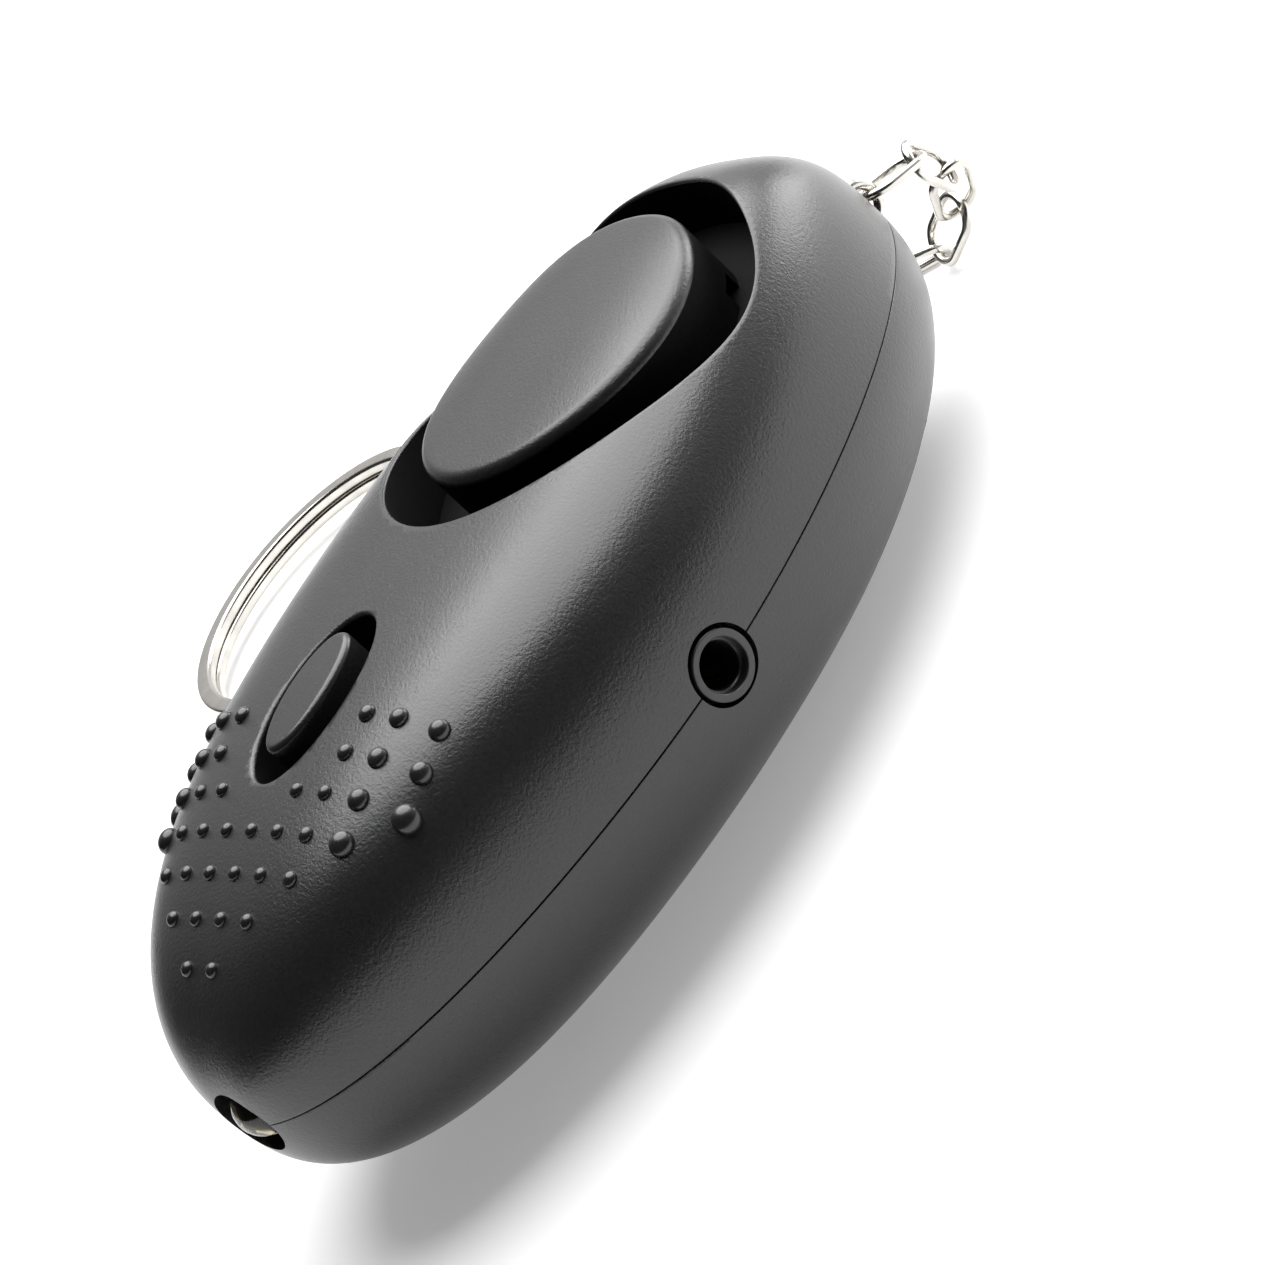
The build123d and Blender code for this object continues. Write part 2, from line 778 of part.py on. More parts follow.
# Chain, laid from the eye down to the ground and along it
half_width_line = (link_width - link_wire) / 2
floor_line_z = half_width_line * math.sin(math.radians(link_roll)) + link_wire / 2
ring_line_z = link_width / 2
end_reach = (link_length - link_wire - link_pitch) / 2
joint_spot = Vector(0, eye_high_y - eye_wire / 2 - (eye_wire + link_wire) / 2 - eye_play + end_reach, seam_z)
hang_count = len(hang_headings)
link_total = hang_count + floor_link_count
link_shape = wire_oval(link_length, link_width, link_wire)
for place in range(link_total):
    heading = math.radians(hang_headings[place] if place < hang_count else floor_heading)
    if place < len(hang_shares):
        drop = (seam_z - floor_line_z) * hang_shares[place]
    elif place < link_total - 2:
        drop = joint_spot.Z - floor_line_z
    else:
        drop = joint_spot.Z - ring_line_z
    level = math.sqrt(link_pitch**2 - drop**2)
    step = Vector(level * math.cos(heading), level * math.sin(heading), -drop)
    sideways = Vector(-math.sin(heading), math.cos(heading), 0)
    upward = step.cross(sideways).normalized()
    if place < hang_count:
        roll = math.radians(hang_rolls[place])
    elif place == link_total - 1:
        roll = math.pi / 2
    elif place == link_total - 2:
        roll = math.radians(ring_side_roll)
    else:
        roll = math.radians(link_roll) * (-1 if place % 2 == 0 else 1)
    normal = upward * math.cos(roll) + sideways * math.sin(roll)
    link_name = "chain_link_" + str(place + 1).zfill(2)
    with BuildPart() as chain_link:
        with Locations(Plane(origin=joint_spot + step / 2, x_dir=step, z_dir=normal)):
            add(link_shape)
    hand_over(chain_link.part, link_name)
    joint_spot = joint_spot + step

# Split ring, round the last link
ring_inner = ring_radius - ring_thick
ring_line = ring_radius - ring_thick / 2
away = Vector(math.cos(heading), math.sin(heading), 0)
ring_centre = joint_spot + away * (end_reach + ring_inner - ring_play)
with BuildPart() as split_ring:
    with BuildSketch(Plane(origin=ring_centre, x_dir=(1, 0, 0), z_dir=(0, -1, 0))):
        with Locations((ring_line, 0)):
            Rectangle(ring_thick, ring_height)
            with Locations((ring_thick / 2, 0)):
                Rectangle(ring_groove, ring_groove, rotation=45, mode=Mode.SUBTRACT)
    revolve(axis=Axis(ring_centre, (0, 0, 1)))
hand_over(split_ring.part, "split_ring")

# Pull pin, threaded on the ring
pin_angle = math.radians(pin_heading)
outward = Vector(math.cos(pin_angle), math.sin(pin_angle), 0)
along_ring = Vector(-math.sin(pin_angle), math.cos(pin_angle), 0)
lug_spot = ring_centre + outward * ring_line
lug_radius = lug_hole_radius + lug_wall
grip_start = lug_spot + outward * (lug_hole_radius + lug_wall / 2)
grip_end = grip_start + outward * grip_length
pin_end = grip_end + outward * pin_length
with BuildPart() as pull_pin:
    with BuildSketch(Plane(origin=lug_spot - along_ring * (lug_thickness / 2), z_dir=along_ring)):
        Circle(lug_radius)
    extrude(amount=lug_thickness)
    add(rod(grip_radius, grip_start, grip_end))
    for place in range(grip_groove_count):
        groove_start = grip_start + outward * (grip_groove_width * (2 * place + 3))
        with BuildSketch(Plane(origin=groove_start, z_dir=outward)):
            Circle(grip_radius)
            Circle(grip_radius - grip_groove, mode=Mode.SUBTRACT)
        extrude(amount=grip_groove_width, mode=Mode.SUBTRACT)
    add(rod(pin_radius, grip_end, pin_end))
    with BuildSketch(Plane(origin=lug_spot - along_ring * lug_thickness, z_dir=along_ring)):
        Circle(lug_hole_radius)
    extrude(amount=lug_thickness * 2, mode=Mode.SUBTRACT)
hand_over(pull_pin.part, "pull_pin")
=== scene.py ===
import math

import bmesh
import bpy
import numpy as np
from mathutils import Matrix, Vector


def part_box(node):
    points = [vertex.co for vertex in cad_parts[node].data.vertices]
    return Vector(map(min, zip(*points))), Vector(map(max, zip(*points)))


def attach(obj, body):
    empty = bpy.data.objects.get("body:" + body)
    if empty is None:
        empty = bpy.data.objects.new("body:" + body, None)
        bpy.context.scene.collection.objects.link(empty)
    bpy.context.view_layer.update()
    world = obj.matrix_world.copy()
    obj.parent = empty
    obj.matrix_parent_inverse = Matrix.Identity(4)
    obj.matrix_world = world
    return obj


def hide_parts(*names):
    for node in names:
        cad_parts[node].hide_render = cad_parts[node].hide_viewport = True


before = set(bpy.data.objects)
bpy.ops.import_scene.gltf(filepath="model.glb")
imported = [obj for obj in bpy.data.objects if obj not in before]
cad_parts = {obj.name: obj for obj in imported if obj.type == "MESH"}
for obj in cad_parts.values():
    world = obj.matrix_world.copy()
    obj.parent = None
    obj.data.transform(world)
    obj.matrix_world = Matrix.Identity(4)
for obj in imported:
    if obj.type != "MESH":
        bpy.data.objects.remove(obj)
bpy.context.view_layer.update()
mm = 0.001

# Camera
# A long lens looks down on the pin side, with the lamp end low on the left.
# The film is the whole square photograph, so its middle is on the lens's axis.
eye_place = Vector((407.91, -159.39, 204.80)) * mm
eye_ahead = Vector((-0.84844, 0.34186, -0.40407))
eye_right = Vector((0.52891, 0.51913, -0.67138))
focal_length = 180.92
film_width = 36.0
bpy.ops.object.camera_add()
camera = bpy.context.object
camera.name = "photo_camera"
eye_up = eye_right.cross(eye_ahead)
camera.matrix_world = Matrix((
    (eye_right.x, eye_up.x, -eye_ahead.x, eye_place.x),
    (eye_right.y, eye_up.y, -eye_ahead.y, eye_place.y),
    (eye_right.z, eye_up.z, -eye_ahead.z, eye_place.z),
    (0, 0, 0, 1),
))
camera.data.lens = focal_length
camera.data.sensor_width = film_width
camera.data.clip_end = 20
bpy.context.scene.camera = camera
bpy.context.scene.view_settings.view_transform = "Standard"

# Floor
# A wide plain white table, so the whole picture behind the alarm is pale.
# It glows a little to the camera and in reflections and keeps the shadows.
floor_size = 6.0
floor_drop = 0.05 * mm
floor_glow = 0.3
paper_tone = (0.86, 0.86, 0.86, 1)
bpy.ops.mesh.primitive_plane_add(size=floor_size, location=(0, 0, -floor_drop))
floor = bpy.context.object
floor.name = "studio_floor"
paper = bpy.data.materials.new("studio_paper")
paper.use_nodes = True
nodes = paper.node_tree.nodes
paper_surface = nodes["Principled BSDF"]
paper_surface.inputs["Base Color"].default_value = paper_tone
paper_surface.inputs["Roughness"].default_value = 0.9
paper_surface.inputs["Specular IOR Level"].default_value = 0.0
paper_surface.inputs["Emission Color"].default_value = (1, 1, 1, 1)
rays = nodes.new("ShaderNodeLightPath")
seen = nodes.new("ShaderNodeMath")
seen.operation = "MAXIMUM"
paper.node_tree.links.new(rays.outputs["Is Camera Ray"], seen.inputs[0])
paper.node_tree.links.new(rays.outputs["Is Glossy Ray"], seen.inputs[1])
seen_through = nodes.new("ShaderNodeMath")
seen_through.operation = "MAXIMUM"
paper.node_tree.links.new(seen.outputs[0], seen_through.inputs[0])
paper.node_tree.links.new(rays.outputs["Is Transmission Ray"], seen_through.inputs[1])
glow = nodes.new("ShaderNodeMath")
glow.operation = "MULTIPLY"
glow.inputs[1].default_value = floor_glow
paper.node_tree.links.new(seen_through.outputs[0], glow.inputs[0])
paper.node_tree.links.new(glow.outputs[0], paper_surface.inputs["Emission Strength"])
floor.data.materials.append(paper)

# Room light
# The room round the table is dim, and grows pale towards the window side on the far left.
# It shows in the satin plastic as a soft fall from light to dark.
window_way = (-0.35, 0.9, 0.25)
dim_share = 0.15
pale_share = 0.9
dim_grey = (0.04, 0.04, 0.04, 1)
pale_grey = (0.9, 0.9, 0.9, 1)
world = bpy.data.worlds.new("studio_room")
world.use_nodes = True
bpy.context.scene.world = world
nodes = world.node_tree.nodes
links = world.node_tree.links
backing = nodes["Background"]
sight = nodes.new("ShaderNodeTexCoord")
towards_window = nodes.new("ShaderNodeVectorMath")
towards_window.operation = "DOT_PRODUCT"
towards_window.inputs[1].default_value = window_way
links.new(sight.outputs["Generated"], towards_window.inputs[0])
fall = nodes.new("ShaderNodeValToRGB")
fall.color_ramp.elements[0].position = dim_share
fall.color_ramp.elements[0].color = dim_grey
fall.color_ramp.elements[1].position = pale_share
fall.color_ramp.elements[1].color = pale_grey
links.new(towards_window.outputs["Value"], fall.inputs["Fac"])
links.new(fall.outputs["Color"], backing.inputs["Color"])

# Lamps
# A broad round soft box hangs high beyond the chain end.
# A small square one stands low over the table.
# The first gives the sheen on the front, the second the paler band along the side.
lamps = (
    ("overhead_box", "DISK", Vector((-94, 232, 447)) * mm, 0.70, 5.5),
    ("table_box", "SQUARE", Vector((-15, 420, 29)) * mm, 0.24, 0.9),
)
for lamp_name, lamp_shape, lamp_place, lamp_size, lamp_power in lamps:
    bpy.ops.object.light_add(type="AREA", location=lamp_place)
    lamp = bpy.context.object
    lamp.name = lamp_name
    lamp.data.shape = lamp_shape
    lamp.data.size = lamp_size
    lamp.data.energy = lamp_power
    lamp.rotation_euler = (-lamp_place).to_track_quat("-Z", "Y").to_euler()

# Front shell
# The front half of the egg-shaped body, moulded in black ABS with a finely etched satin face.
# It carries the siren's round moat and the button's well, and screws to the rear shell.
body_length = 88.0
half_length = body_length / 2
half_width = 24.0
width_peak_y = -2.0
crown_height = 15.3
crown_peak_y = 10.1
belly_depth = 14.8
belly_peak_y = 5.2
seam_z = 14.4
nose_margin = 0.04
width_taper = (1.9, 1.714, 1.771, 2.148)
crown_taper = (5.188, 1.938, 4.512, 1.938)
belly_taper = (2.254, 2.744, 3.769, 2.744)
crown_shares = (0.97, 0.65)
belly_shares = (0.50, 0.62)
seam_lip = 0.09
seam_groove_depth = 0.3
seam_groove_half = 0.05
seam_play = 0.004
tool_past = 2.0
thinnest_end = 0.4
skin_wall = 1.5
core_inset = 1.0
cut_play = 0.02
siren_y = 17.5
moat_radius = 17.5
moat_floor_z = seam_z + 8.6
siren_opening_radius = 10.5
button_y = -15.9
well_half_x = 5.0
well_half_y = 7.5
well_floor_z = seam_z + 11.4
stem_hole_radius = 1.7
rim_round = 0.35
rim_reach = 60
painted_shade_drop = 0.55
socket_y = -1.7
socket_hole_radius = 3.08
socket_shoulder_x = 20.2
lamp_hole_radius = 3.1
lamp_seat_radius = 2.6
lamp_seat_y = -42.0
lamp_wall_y = -40.6
pocket_half_x = 3.3
pocket_half_z = 2.7
pocket_floor_y = 38.4
far = 60.0
drill_turn = math.radians(1.3)
siren_drill_top = 25
stem_drill_top = 27
moat_turns = 144
well_turns = 96
skin_steps = (170, 56)
room_steps = (60, 20)
door_steps = (60, 24)
weld_distance = 1e-7
flare_steps = 6
flare_rise_share = 0.6
black_abs = (0.016, 0.016, 0.017)
# Painted shade for the moat and the well: a near-black tone, darker than the shell's own black.
recess_painted_shade = (0.004, 0.004, 0.004)
plastic_ior = 1.6
noise_span = (0.3, 0.7)


def taper(y, peak_y, powers):
    """Share of the full size that is left at a station along the body."""
    if y > peak_y:
        share = min((y - peak_y) / (half_length - peak_y), 1)
        return (1 - share ** powers[0]) ** (1 / powers[1])
    share = min((peak_y - y) / (peak_y + half_length), 1)
    return (1 - share ** powers[2]) ** (1 / powers[3])


def half_sizes(y, inset, front):
    """Half width and rise of one half of the body at a station."""
    outer_y = y * half_length / (half_length - inset)
    wide = half_width * taper(outer_y, width_peak_y, width_taper) - inset
    if front:
        return wide, crown_height * taper(outer_y, crown_peak_y, crown_taper) - inset
    return wide, inset - belly_depth * taper(outer_y, belly_peak_y, belly_taper)


def curve_shares(t, shares):
    """Shares of half width and rise along a section's quarter curve."""
    rest = 1 - t
    along_x = rest**3 + 3 * rest**2 * t + 3 * rest * t**2 * shares[1]
    along_z = 3 * rest**2 * t * shares[0] + 3 * rest * t**2 + t**3
    return along_x, along_z


def crown_z(x, y):
    """Height of the front's surface over a point, in millimetres."""
    wide, high = half_sizes(y, 0, True)
    low_t, high_t = 0.0, 1.0
    halvings = 30
    for _ in range(halvings):
        t = (low_t + high_t) / 2
        share_x, share_z = curve_shares(t, crown_shares)
        if wide * share_x > abs(x):
            low_t = t
        else:
            high_t = t
    return seam_z + high * share_z


def set_normals(piece):
    """Merges doubled corners, turns all faces outwards and splits bent ones into flat halves."""
    work = bmesh.new()
    work.from_mesh(piece.data)
    bmesh.ops.remove_doubles(work, verts=work.verts, dist=weld_distance)
    bmesh.ops.recalc_face_normals(work, faces=work.faces)
    bmesh.ops.triangulate(work, faces=[face for face in work.faces if len(face.verts) == 4])
    work.to_mesh(piece.data)
    work.free()


def joined_rings(name, rings):
    """A closed body with one skin over rings of points, in millimetres."""
    turns = len(rings[0])
    points = [Vector(p) * mm for ring in rings for p in ring]
    faces = [tuple(range(turns)), tuple(range(len(points) - turns, len(points)))]
    for ring in range(len(rings) - 1):
        for turn in range(turns):
            here = ring * turns + turn
            there = ring * turns + (turn + 1) % turns
            faces.append((here, there, there + turns, here + turns))
    mesh = bpy.data.meshes.new(name)
    mesh.from_pydata(points, [], faces)
    piece = bpy.data.objects.new(name, mesh)
    bpy.context.scene.collection.objects.link(piece)
    set_normals(piece)
    return piece


def egg_half(name, inset, front, rows, columns, lip=0.0, past=0.0):
    """A closed half of the egg, with its rim eased by a lip or taken past the seam."""
    shares = crown_shares if front else belly_shares
    sign = 1 if front else -1
    ends = []
    for side in (-1, 1):
        end = side * (half_length - inset - nose_margin)
        while inset and min(abs(size) * (size * way > 0) for size, way in zip(
                half_sizes(end, inset, front), (1, sign))) < thinnest_end:
            end -= side * nose_margin
        ends.append(end)
    rings = []
    for row in range(rows + 1):
        y = (ends[0] + ends[1]) / 2 - (ends[1] - ends[0]) / 2 * math.cos(math.pi * row / rows)
        wide, rise = half_sizes(y, inset, front)
        right = [(wide, -sign * past)] if past else []
        if lip:
            groove_x = max(wide - seam_groove_depth, wide / 2)
            edge_x = max(wide - lip / 3, wide / 2)
            groove_z = sign * seam_groove_half
            right = [(groove_x, sign * seam_play), (groove_x, groove_z), (edge_x, groove_z)]
        for column in range(columns + 1):
            share_x, share_z = curve_shares(column / columns, shares)
            right.append((wide * share_x, rise * share_z + sign * lip * (1 - share_z)))
        left = [(-x, z) for x, z in reversed(right[:-1])]
        rings.append([(x, y, seam_z + z) for x, z in right + left])
    return joined_rings(name, rings)


def rim_cutter(name, half_x, half_y, middle_y, floor_z, turns):
    """Fills a round or oval well up to a flared mouth that follows the crown."""
    flare = [(0.0, None)]
    for step in range(flare_steps + 1):
        angle = math.radians(rim_reach) * step / flare_steps
        flare.append((rim_round * (1 - math.cos(angle)), rim_round * (math.sin(angle) - 1)))
    rise_step = rim_round * flare_rise_share
    run_step = rise_step * math.tan(math.radians(rim_reach))
    flare.append((flare[-1][0] + run_step, flare[-1][1] + rise_step))
    flare.append((flare[-1][0], far))
    rings = []
    for grow, rise in flare:
        ring = []
        for turn in range(turns):
            angle = math.tau * turn / turns
            x = (half_x + grow) * math.cos(angle)
            y = middle_y + (half_y + grow) * math.sin(angle)
            ring.append((x, y, floor_z if rise is None else crown_z(x, y) + rise))
        rings.append(ring)
    return joined_rings(name, rings)


def only(piece):
    """Makes one piece the whole selection."""
    bpy.ops.object.select_all(action="DESELECT")
    piece.select_set(True)
    bpy.context.view_layer.objects.active = piece


def turn_to(way):
    """The turn that points an upright piece along a direction."""
    return Vector(way).to_track_quat("Z", "Y").to_matrix().to_4x4()


def drill(radius, start, end, turns=72):
    """A round bar between two points, in millimetres."""
    span = Vector(end) - Vector(start)
    bpy.ops.object.select_all(action="DESELECT")
    bpy.ops.mesh.primitive_cylinder_add(vertices=turns, radius=radius * mm, depth=span.length * mm)
    bar = bpy.context.object
    middle = (Vector(start) + Vector(end)) / 2 * mm
    bar.data.transform(
        Matrix.Translation(middle) @ turn_to(span) @ Matrix.Rotation(drill_turn, 4, "Z"))
    return bar


def block(low, high, corner=0.0):
    """A block between two corners, in millimetres, its upright edges rounded."""
    bpy.ops.object.select_all(action="DESELECT")
    bpy.ops.mesh.primitive_cube_add(size=1)
    brick = bpy.context.object
    middle = (Vector(low) + Vector(high)) / 2 * mm
    size = (Vector(high) - Vector(low)) * mm
    brick.data.transform(Matrix.Translation(middle) @ Matrix.Diagonal((*size, 1)))
    if corner:
        bpy.ops.object.mode_set(mode="EDIT")
        bpy.ops.mesh.select_all(action="DESELECT")
        work = bmesh.from_edit_mesh(brick.data)
        for edge in work.edges:
            span = edge.verts[0].co - edge.verts[1].co
            edge.select_set(abs(span.z) > abs(span.x) + abs(span.y))
        bmesh.update_edit_mesh(brick.data)
        bpy.ops.mesh.bevel(offset=corner * mm, segments=6, affect="EDGES")
        bpy.ops.object.mode_set(mode="OBJECT")
    return brick


def combine(piece, tool, operation):
    """Joins, cuts or keeps a piece by another one, which is used up."""
    only(piece)
    change = piece.modifiers.new("combine", "BOOLEAN")
    change.object = tool
    change.operation = operation
    change.solver = "EXACT"
    bpy.ops.object.modifier_apply(modifier=change.name)
    bpy.data.objects.remove(tool)
    work = bmesh.new()
    work.from_mesh(piece.data)
    bmesh.ops.dissolve_degenerate(work, dist=weld_distance, edges=work.edges)
    work.to_mesh(piece.data)
    work.free()


def cut(piece, tool):
    """Cuts the room of a tool out of a piece."""
    combine(piece, tool, "DIFFERENCE")


def finish_smooth(piece, degrees=32):
    """Shades the gentle edges of a piece smooth and leaves the rest sharp."""
    work = bmesh.new()
    work.from_mesh(piece.data)
    bmesh.ops.triangulate(work, faces=[face for face in work.faces if len(face.verts) > 4])
    for face in work.faces:
        face.smooth = True
    for edge in work.edges:
        edge.smooth = edge.calc_face_angle(math.pi) < math.radians(degrees)
    work.to_mesh(piece.data)
    work.free()
    only(piece)
    bpy.ops.mesh.customdata_custom_splitnormals_clear()
    even = piece.modifiers.new("even", "WEIGHTED_NORMAL")
    even.keep_sharp = True
    bpy.ops.object.modifier_apply(modifier=even.name)


def fit(piece, material, slot, body, *nodes):
    """Gives a finished piece its material and body, and the frame's nodes that it stands for. The slot is
    not used.
    """
    piece.data.materials.clear()
    piece.data.materials.append(material)
    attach(piece, body)
    if nodes:
        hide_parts(*nodes)


def core_of(node, front):
    """A copy of what the frame's shell holds inside, up to the middle of its wall."""
    core = bpy.data.objects[node].copy()
    core.data = core.data.copy()
    bpy.context.scene.collection.objects.link(core)
    set_normals(core)
    combine(core, egg_half("core_limit", core_inset, front, *room_steps, past=tool_past), "INTERSECT")
    return core


def cut_seam_openings(shell):
    """Cuts the holes that both shells share: the pin's, the lamp's and the keyring pocket."""
    cut(shell, drill(
        socket_hole_radius + cut_play,
        (socket_shoulder_x - cut_play, socket_y, seam_z), (far, socket_y, seam_z)))
    cut(shell, drill(
        lamp_hole_radius + cut_play,
        (0, -far, seam_z), (0, lamp_seat_y + cut_play, seam_z)))
    cut(shell, drill(
        lamp_seat_radius + cut_play,
        (0, lamp_seat_y, seam_z), (0, lamp_wall_y + cut_play, seam_z)))
    cut(shell, block(
        (-pocket_half_x - cut_play, pocket_floor_y - cut_play, seam_z - pocket_half_z - cut_play),
        (pocket_half_x + cut_play, far, seam_z + pocket_half_z + cut_play)))


def new_group(name, inputs, outputs):
    """An empty shader group with the named sockets, its input node and its output node."""
    group = bpy.data.node_groups.new(name, "ShaderNodeTree")
    for socket_name, kind in inputs:
        group.interface.new_socket(socket_name, in_out="INPUT", socket_type=kind)
    for socket_name, kind in outputs:
        group.interface.new_socket(socket_name, in_out="OUTPUT", socket_type=kind)
    return group, group.nodes.new("NodeGroupInput"), group.nodes.new("NodeGroupOutput")


def noise(tree, scale, detail, vector):
    """A noise texture over a place given by another node."""
    texture = tree.nodes.new("ShaderNodeTexNoise")
    texture.inputs["Scale"].default_value = scale
    texture.inputs["Detail"].default_value = detail
    tree.links.new(vector, texture.inputs["Vector"])
    return texture


def ranged(tree, value, from_low, from_high, to_low, to_high):
    """Stretches a value from one range to another."""
    spread = tree.nodes.new("ShaderNodeMapRange")
    spread.inputs["From Min"].default_value = from_low
    spread.inputs["From Max"].default_value = from_high
    spread.inputs["To Min"].default_value = to_low
    spread.inputs["To Max"].default_value = to_high
    tree.links.new(value, spread.inputs["Value"])
    return spread.outputs["Result"]


def added(tree, first, second):
    """The sum of two values."""
    total = tree.nodes.new("ShaderNodeMath")
    total.operation = "ADD"
    tree.links.new(first, total.inputs[0])
    tree.links.new(second, total.inputs[1])
    return total.outputs[0]


def scaled_tone(tree, tone, share):
    """A colour made lighter or darker by a value."""
    tinted = tree.nodes.new("ShaderNodeVectorMath")
    tinted.operation = "SCALE"
    tree.links.new(tone, tinted.inputs[0])
    tree.links.new(share, tinted.inputs["Scale"])
    return tinted.outputs["Vector"]


value_socket, colour_socket = "NodeSocketFloat", "NodeSocketColor"
grain_group, given, result = new_group(
    "moulded_grain",
    (("Grain Scale", value_socket), ("Roughness", value_socket), ("Tone", colour_socket)),
    (("Height", value_socket), ("Roughness", value_socket), ("Tone", colour_socket)))
place = grain_group.nodes.new("ShaderNodeTexCoord")
fine_grain = noise(grain_group, 1.0, 3.0, place.outputs["Object"])
fine_grain.inputs["Distortion"].default_value = 0.5
grain_group.links.new(given.outputs["Grain Scale"], fine_grain.inputs["Scale"])
handling = noise(grain_group, 90.0, 4.0, place.outputs["Object"])
grain_group.links.new(fine_grain.outputs["Fac"], result.inputs["Height"])
handled = ranged(grain_group, handling.outputs["Fac"], *noise_span, -0.03, 0.03)
grain_group.links.new(
    added(grain_group, given.outputs["Roughness"], handled), result.inputs["Roughness"])
mottled = ranged(grain_group, fine_grain.outputs["Fac"], *noise_span, 0.8, 1.3)
grain_group.links.new(
    scaled_tone(grain_group, given.outputs["Tone"], mottled), result.inputs["Tone"])


def surface_from(name, group, settings, bump_distance):
    """A material whose colour, roughness and relief come from a shader group."""
    material = bpy.data.materials.new(name)
    material.use_nodes = True
    tree = material.node_tree
    surface = tree.nodes["Principled BSDF"]
    effect = tree.nodes.new("ShaderNodeGroup")
    effect.node_tree = group
    for socket_name, value in settings.items():
        effect.inputs[socket_name].default_value = value
    relief = tree.nodes.new("ShaderNodeBump")
    relief.inputs["Distance"].default_value = bump_distance
    tree.links.new(effect.outputs["Height"], relief.inputs["Height"])
    tree.links.new(relief.outputs["Normal"], surface.inputs["Normal"])
    tree.links.new(effect.outputs["Roughness"], surface.inputs["Roughness"])
    tree.links.new(effect.outputs["Tone"], surface.inputs["Base Color"])
    return material, surface


def plastic(name, tone, roughness, grain_scale, grain_depth):
    """Moulded plastic with its own tone, gloss and grain."""
    settings = {"Grain Scale": grain_scale, "Roughness": roughness, "Tone": (*tone, 1)}
    material, surface = surface_from(name, grain_group, settings, grain_depth)
    surface.inputs["IOR"].default_value = plastic_ior
    return material


etched_abs = plastic(
    "etched_abs", black_abs, roughness=0.29, grain_scale=3800.0, grain_depth=0.000034)
front_skin = egg_half("front_shell_skin", 0, True, *skin_steps, seam_lip)
cut(front_skin, egg_half(
    "front_room", skin_wall, True, *room_steps, past=tool_past))
combine(front_skin, core_of("front_shell", True), "UNION")
cut(front_skin, rim_cutter(
    "moat", moat_radius + cut_play, moat_radius + cut_play,
    siren_y, moat_floor_z - cut_play, moat_turns))
cut(front_skin, rim_cutter(
    "well", well_half_x + cut_play, well_half_y + cut_play,
    button_y, well_floor_z - cut_play, well_turns))
cut(front_skin, drill(
    siren_opening_radius + cut_play,
    (0, siren_y, seam_z), (0, siren_y, siren_drill_top)))
cut(front_skin, drill(
    stem_hole_radius + cut_play,
    (0, button_y, seam_z), (0, button_y, stem_drill_top)))
cut_seam_openings(front_skin)
finish_smooth(front_skin)
fit(front_skin, etched_abs, "shell_plastic", "alarm_body", "front_shell")
# Painted shade: the walls and floors of the moat and the well, below the rim, take a near-black tone with
# weak reflection and a matte roughness, in place of the shade that falls in these deep recesses.
painted_shade_settings = {"Grain Scale": 1800.0, "Roughness": 0.7, "Tone": (*recess_painted_shade, 1)}
painted_shade_abs, painted_shade_surface = surface_from("painted_shade_abs", grain_group, painted_shade_settings, 0.00002)
painted_shade_surface.inputs["Specular IOR Level"].default_value = 0.08
front_skin.data.materials.append(painted_shade_abs)
for face in front_skin.data.polygons:
    x, y, z = face.center / mm
    rim_middle = rim_round / 2
    in_moat = math.hypot(x, y - siren_y) < moat_radius + rim_middle
    in_well = math.hypot(
        x / (well_half_x + rim_middle), (y - button_y) / (well_half_y + rim_middle)) < 1
    if (in_moat or in_well) and z > seam_z and z < crown_z(x, y) - painted_shade_drop:
        face.material_index = 1

# Grip bumps
# Forty small shining domes beside and below the button form a blunt arrow for the thumb.
# They are moulded with the front shell, from drilled pits that were polished in the mould.
bump_pitch_x = 3.76
bump_pitch_y = 3.32
bump_first_y = -17.4
bump_rows = ((2, 4), (2, 4), (1, 4), (0, 3), (0, 2), (0, 1), (0, 0))
bump_radii = (
    (0.75, 0.82, 0.87), (0.72, 0.86, 0.90), (0.62, 0.64, 0.90, 1.14),
    (0.62, 0.62, 0.66, 1.04), (0.62, 0.62, 0.66), (0.62, 0.64), (0.62,))
dome_rise = 0.8
dome_sink = 0.35


def dome(radius, x, y):
    """A rounded bump on the crown, with its foot sunk in the wall."""
    slope_step = 0.05
    base = Vector((x, y, crown_z(x, y)))
    slope_x = (crown_z(x + slope_step, y) - crown_z(x - slope_step, y)) / (2 * slope_step)
    slope_y = (crown_z(x, y + slope_step) - crown_z(x, y - slope_step)) / (2 * slope_step)
    outward = Vector((-slope_x, -slope_y, 1)).normalized()
    bpy.ops.object.select_all(action="DESELECT")
    bpy.ops.mesh.primitive_uv_sphere_add(segments=24, ring_count=16, radius=mm)
    bead = bpy.context.object
    bpy.ops.object.mode_set(mode="EDIT")
    bpy.ops.mesh.select_all(action="SELECT")
    bpy.ops.mesh.bisect(
        plane_co=(0, 0, -dome_sink * mm), plane_no=(0, 0, 1), clear_inner=True, use_fill=True)
    bpy.ops.object.mode_set(mode="OBJECT")
    size = Matrix.Diagonal((radius, radius, radius * dome_rise, 1))
    bead.data.transform(Matrix.Translation(base * mm) @ turn_to(outward) @ size)
    return bead


def join(name, pieces):
    """Joins pieces into one object and names it."""
    bpy.ops.object.select_all(action="DESELECT")
    for piece in pieces:
        piece.select_set(True)
    bpy.context.view_layer.objects.active = pieces[0]
    bpy.ops.object.join()
    joined = bpy.context.object
    joined.name = name
    return joined


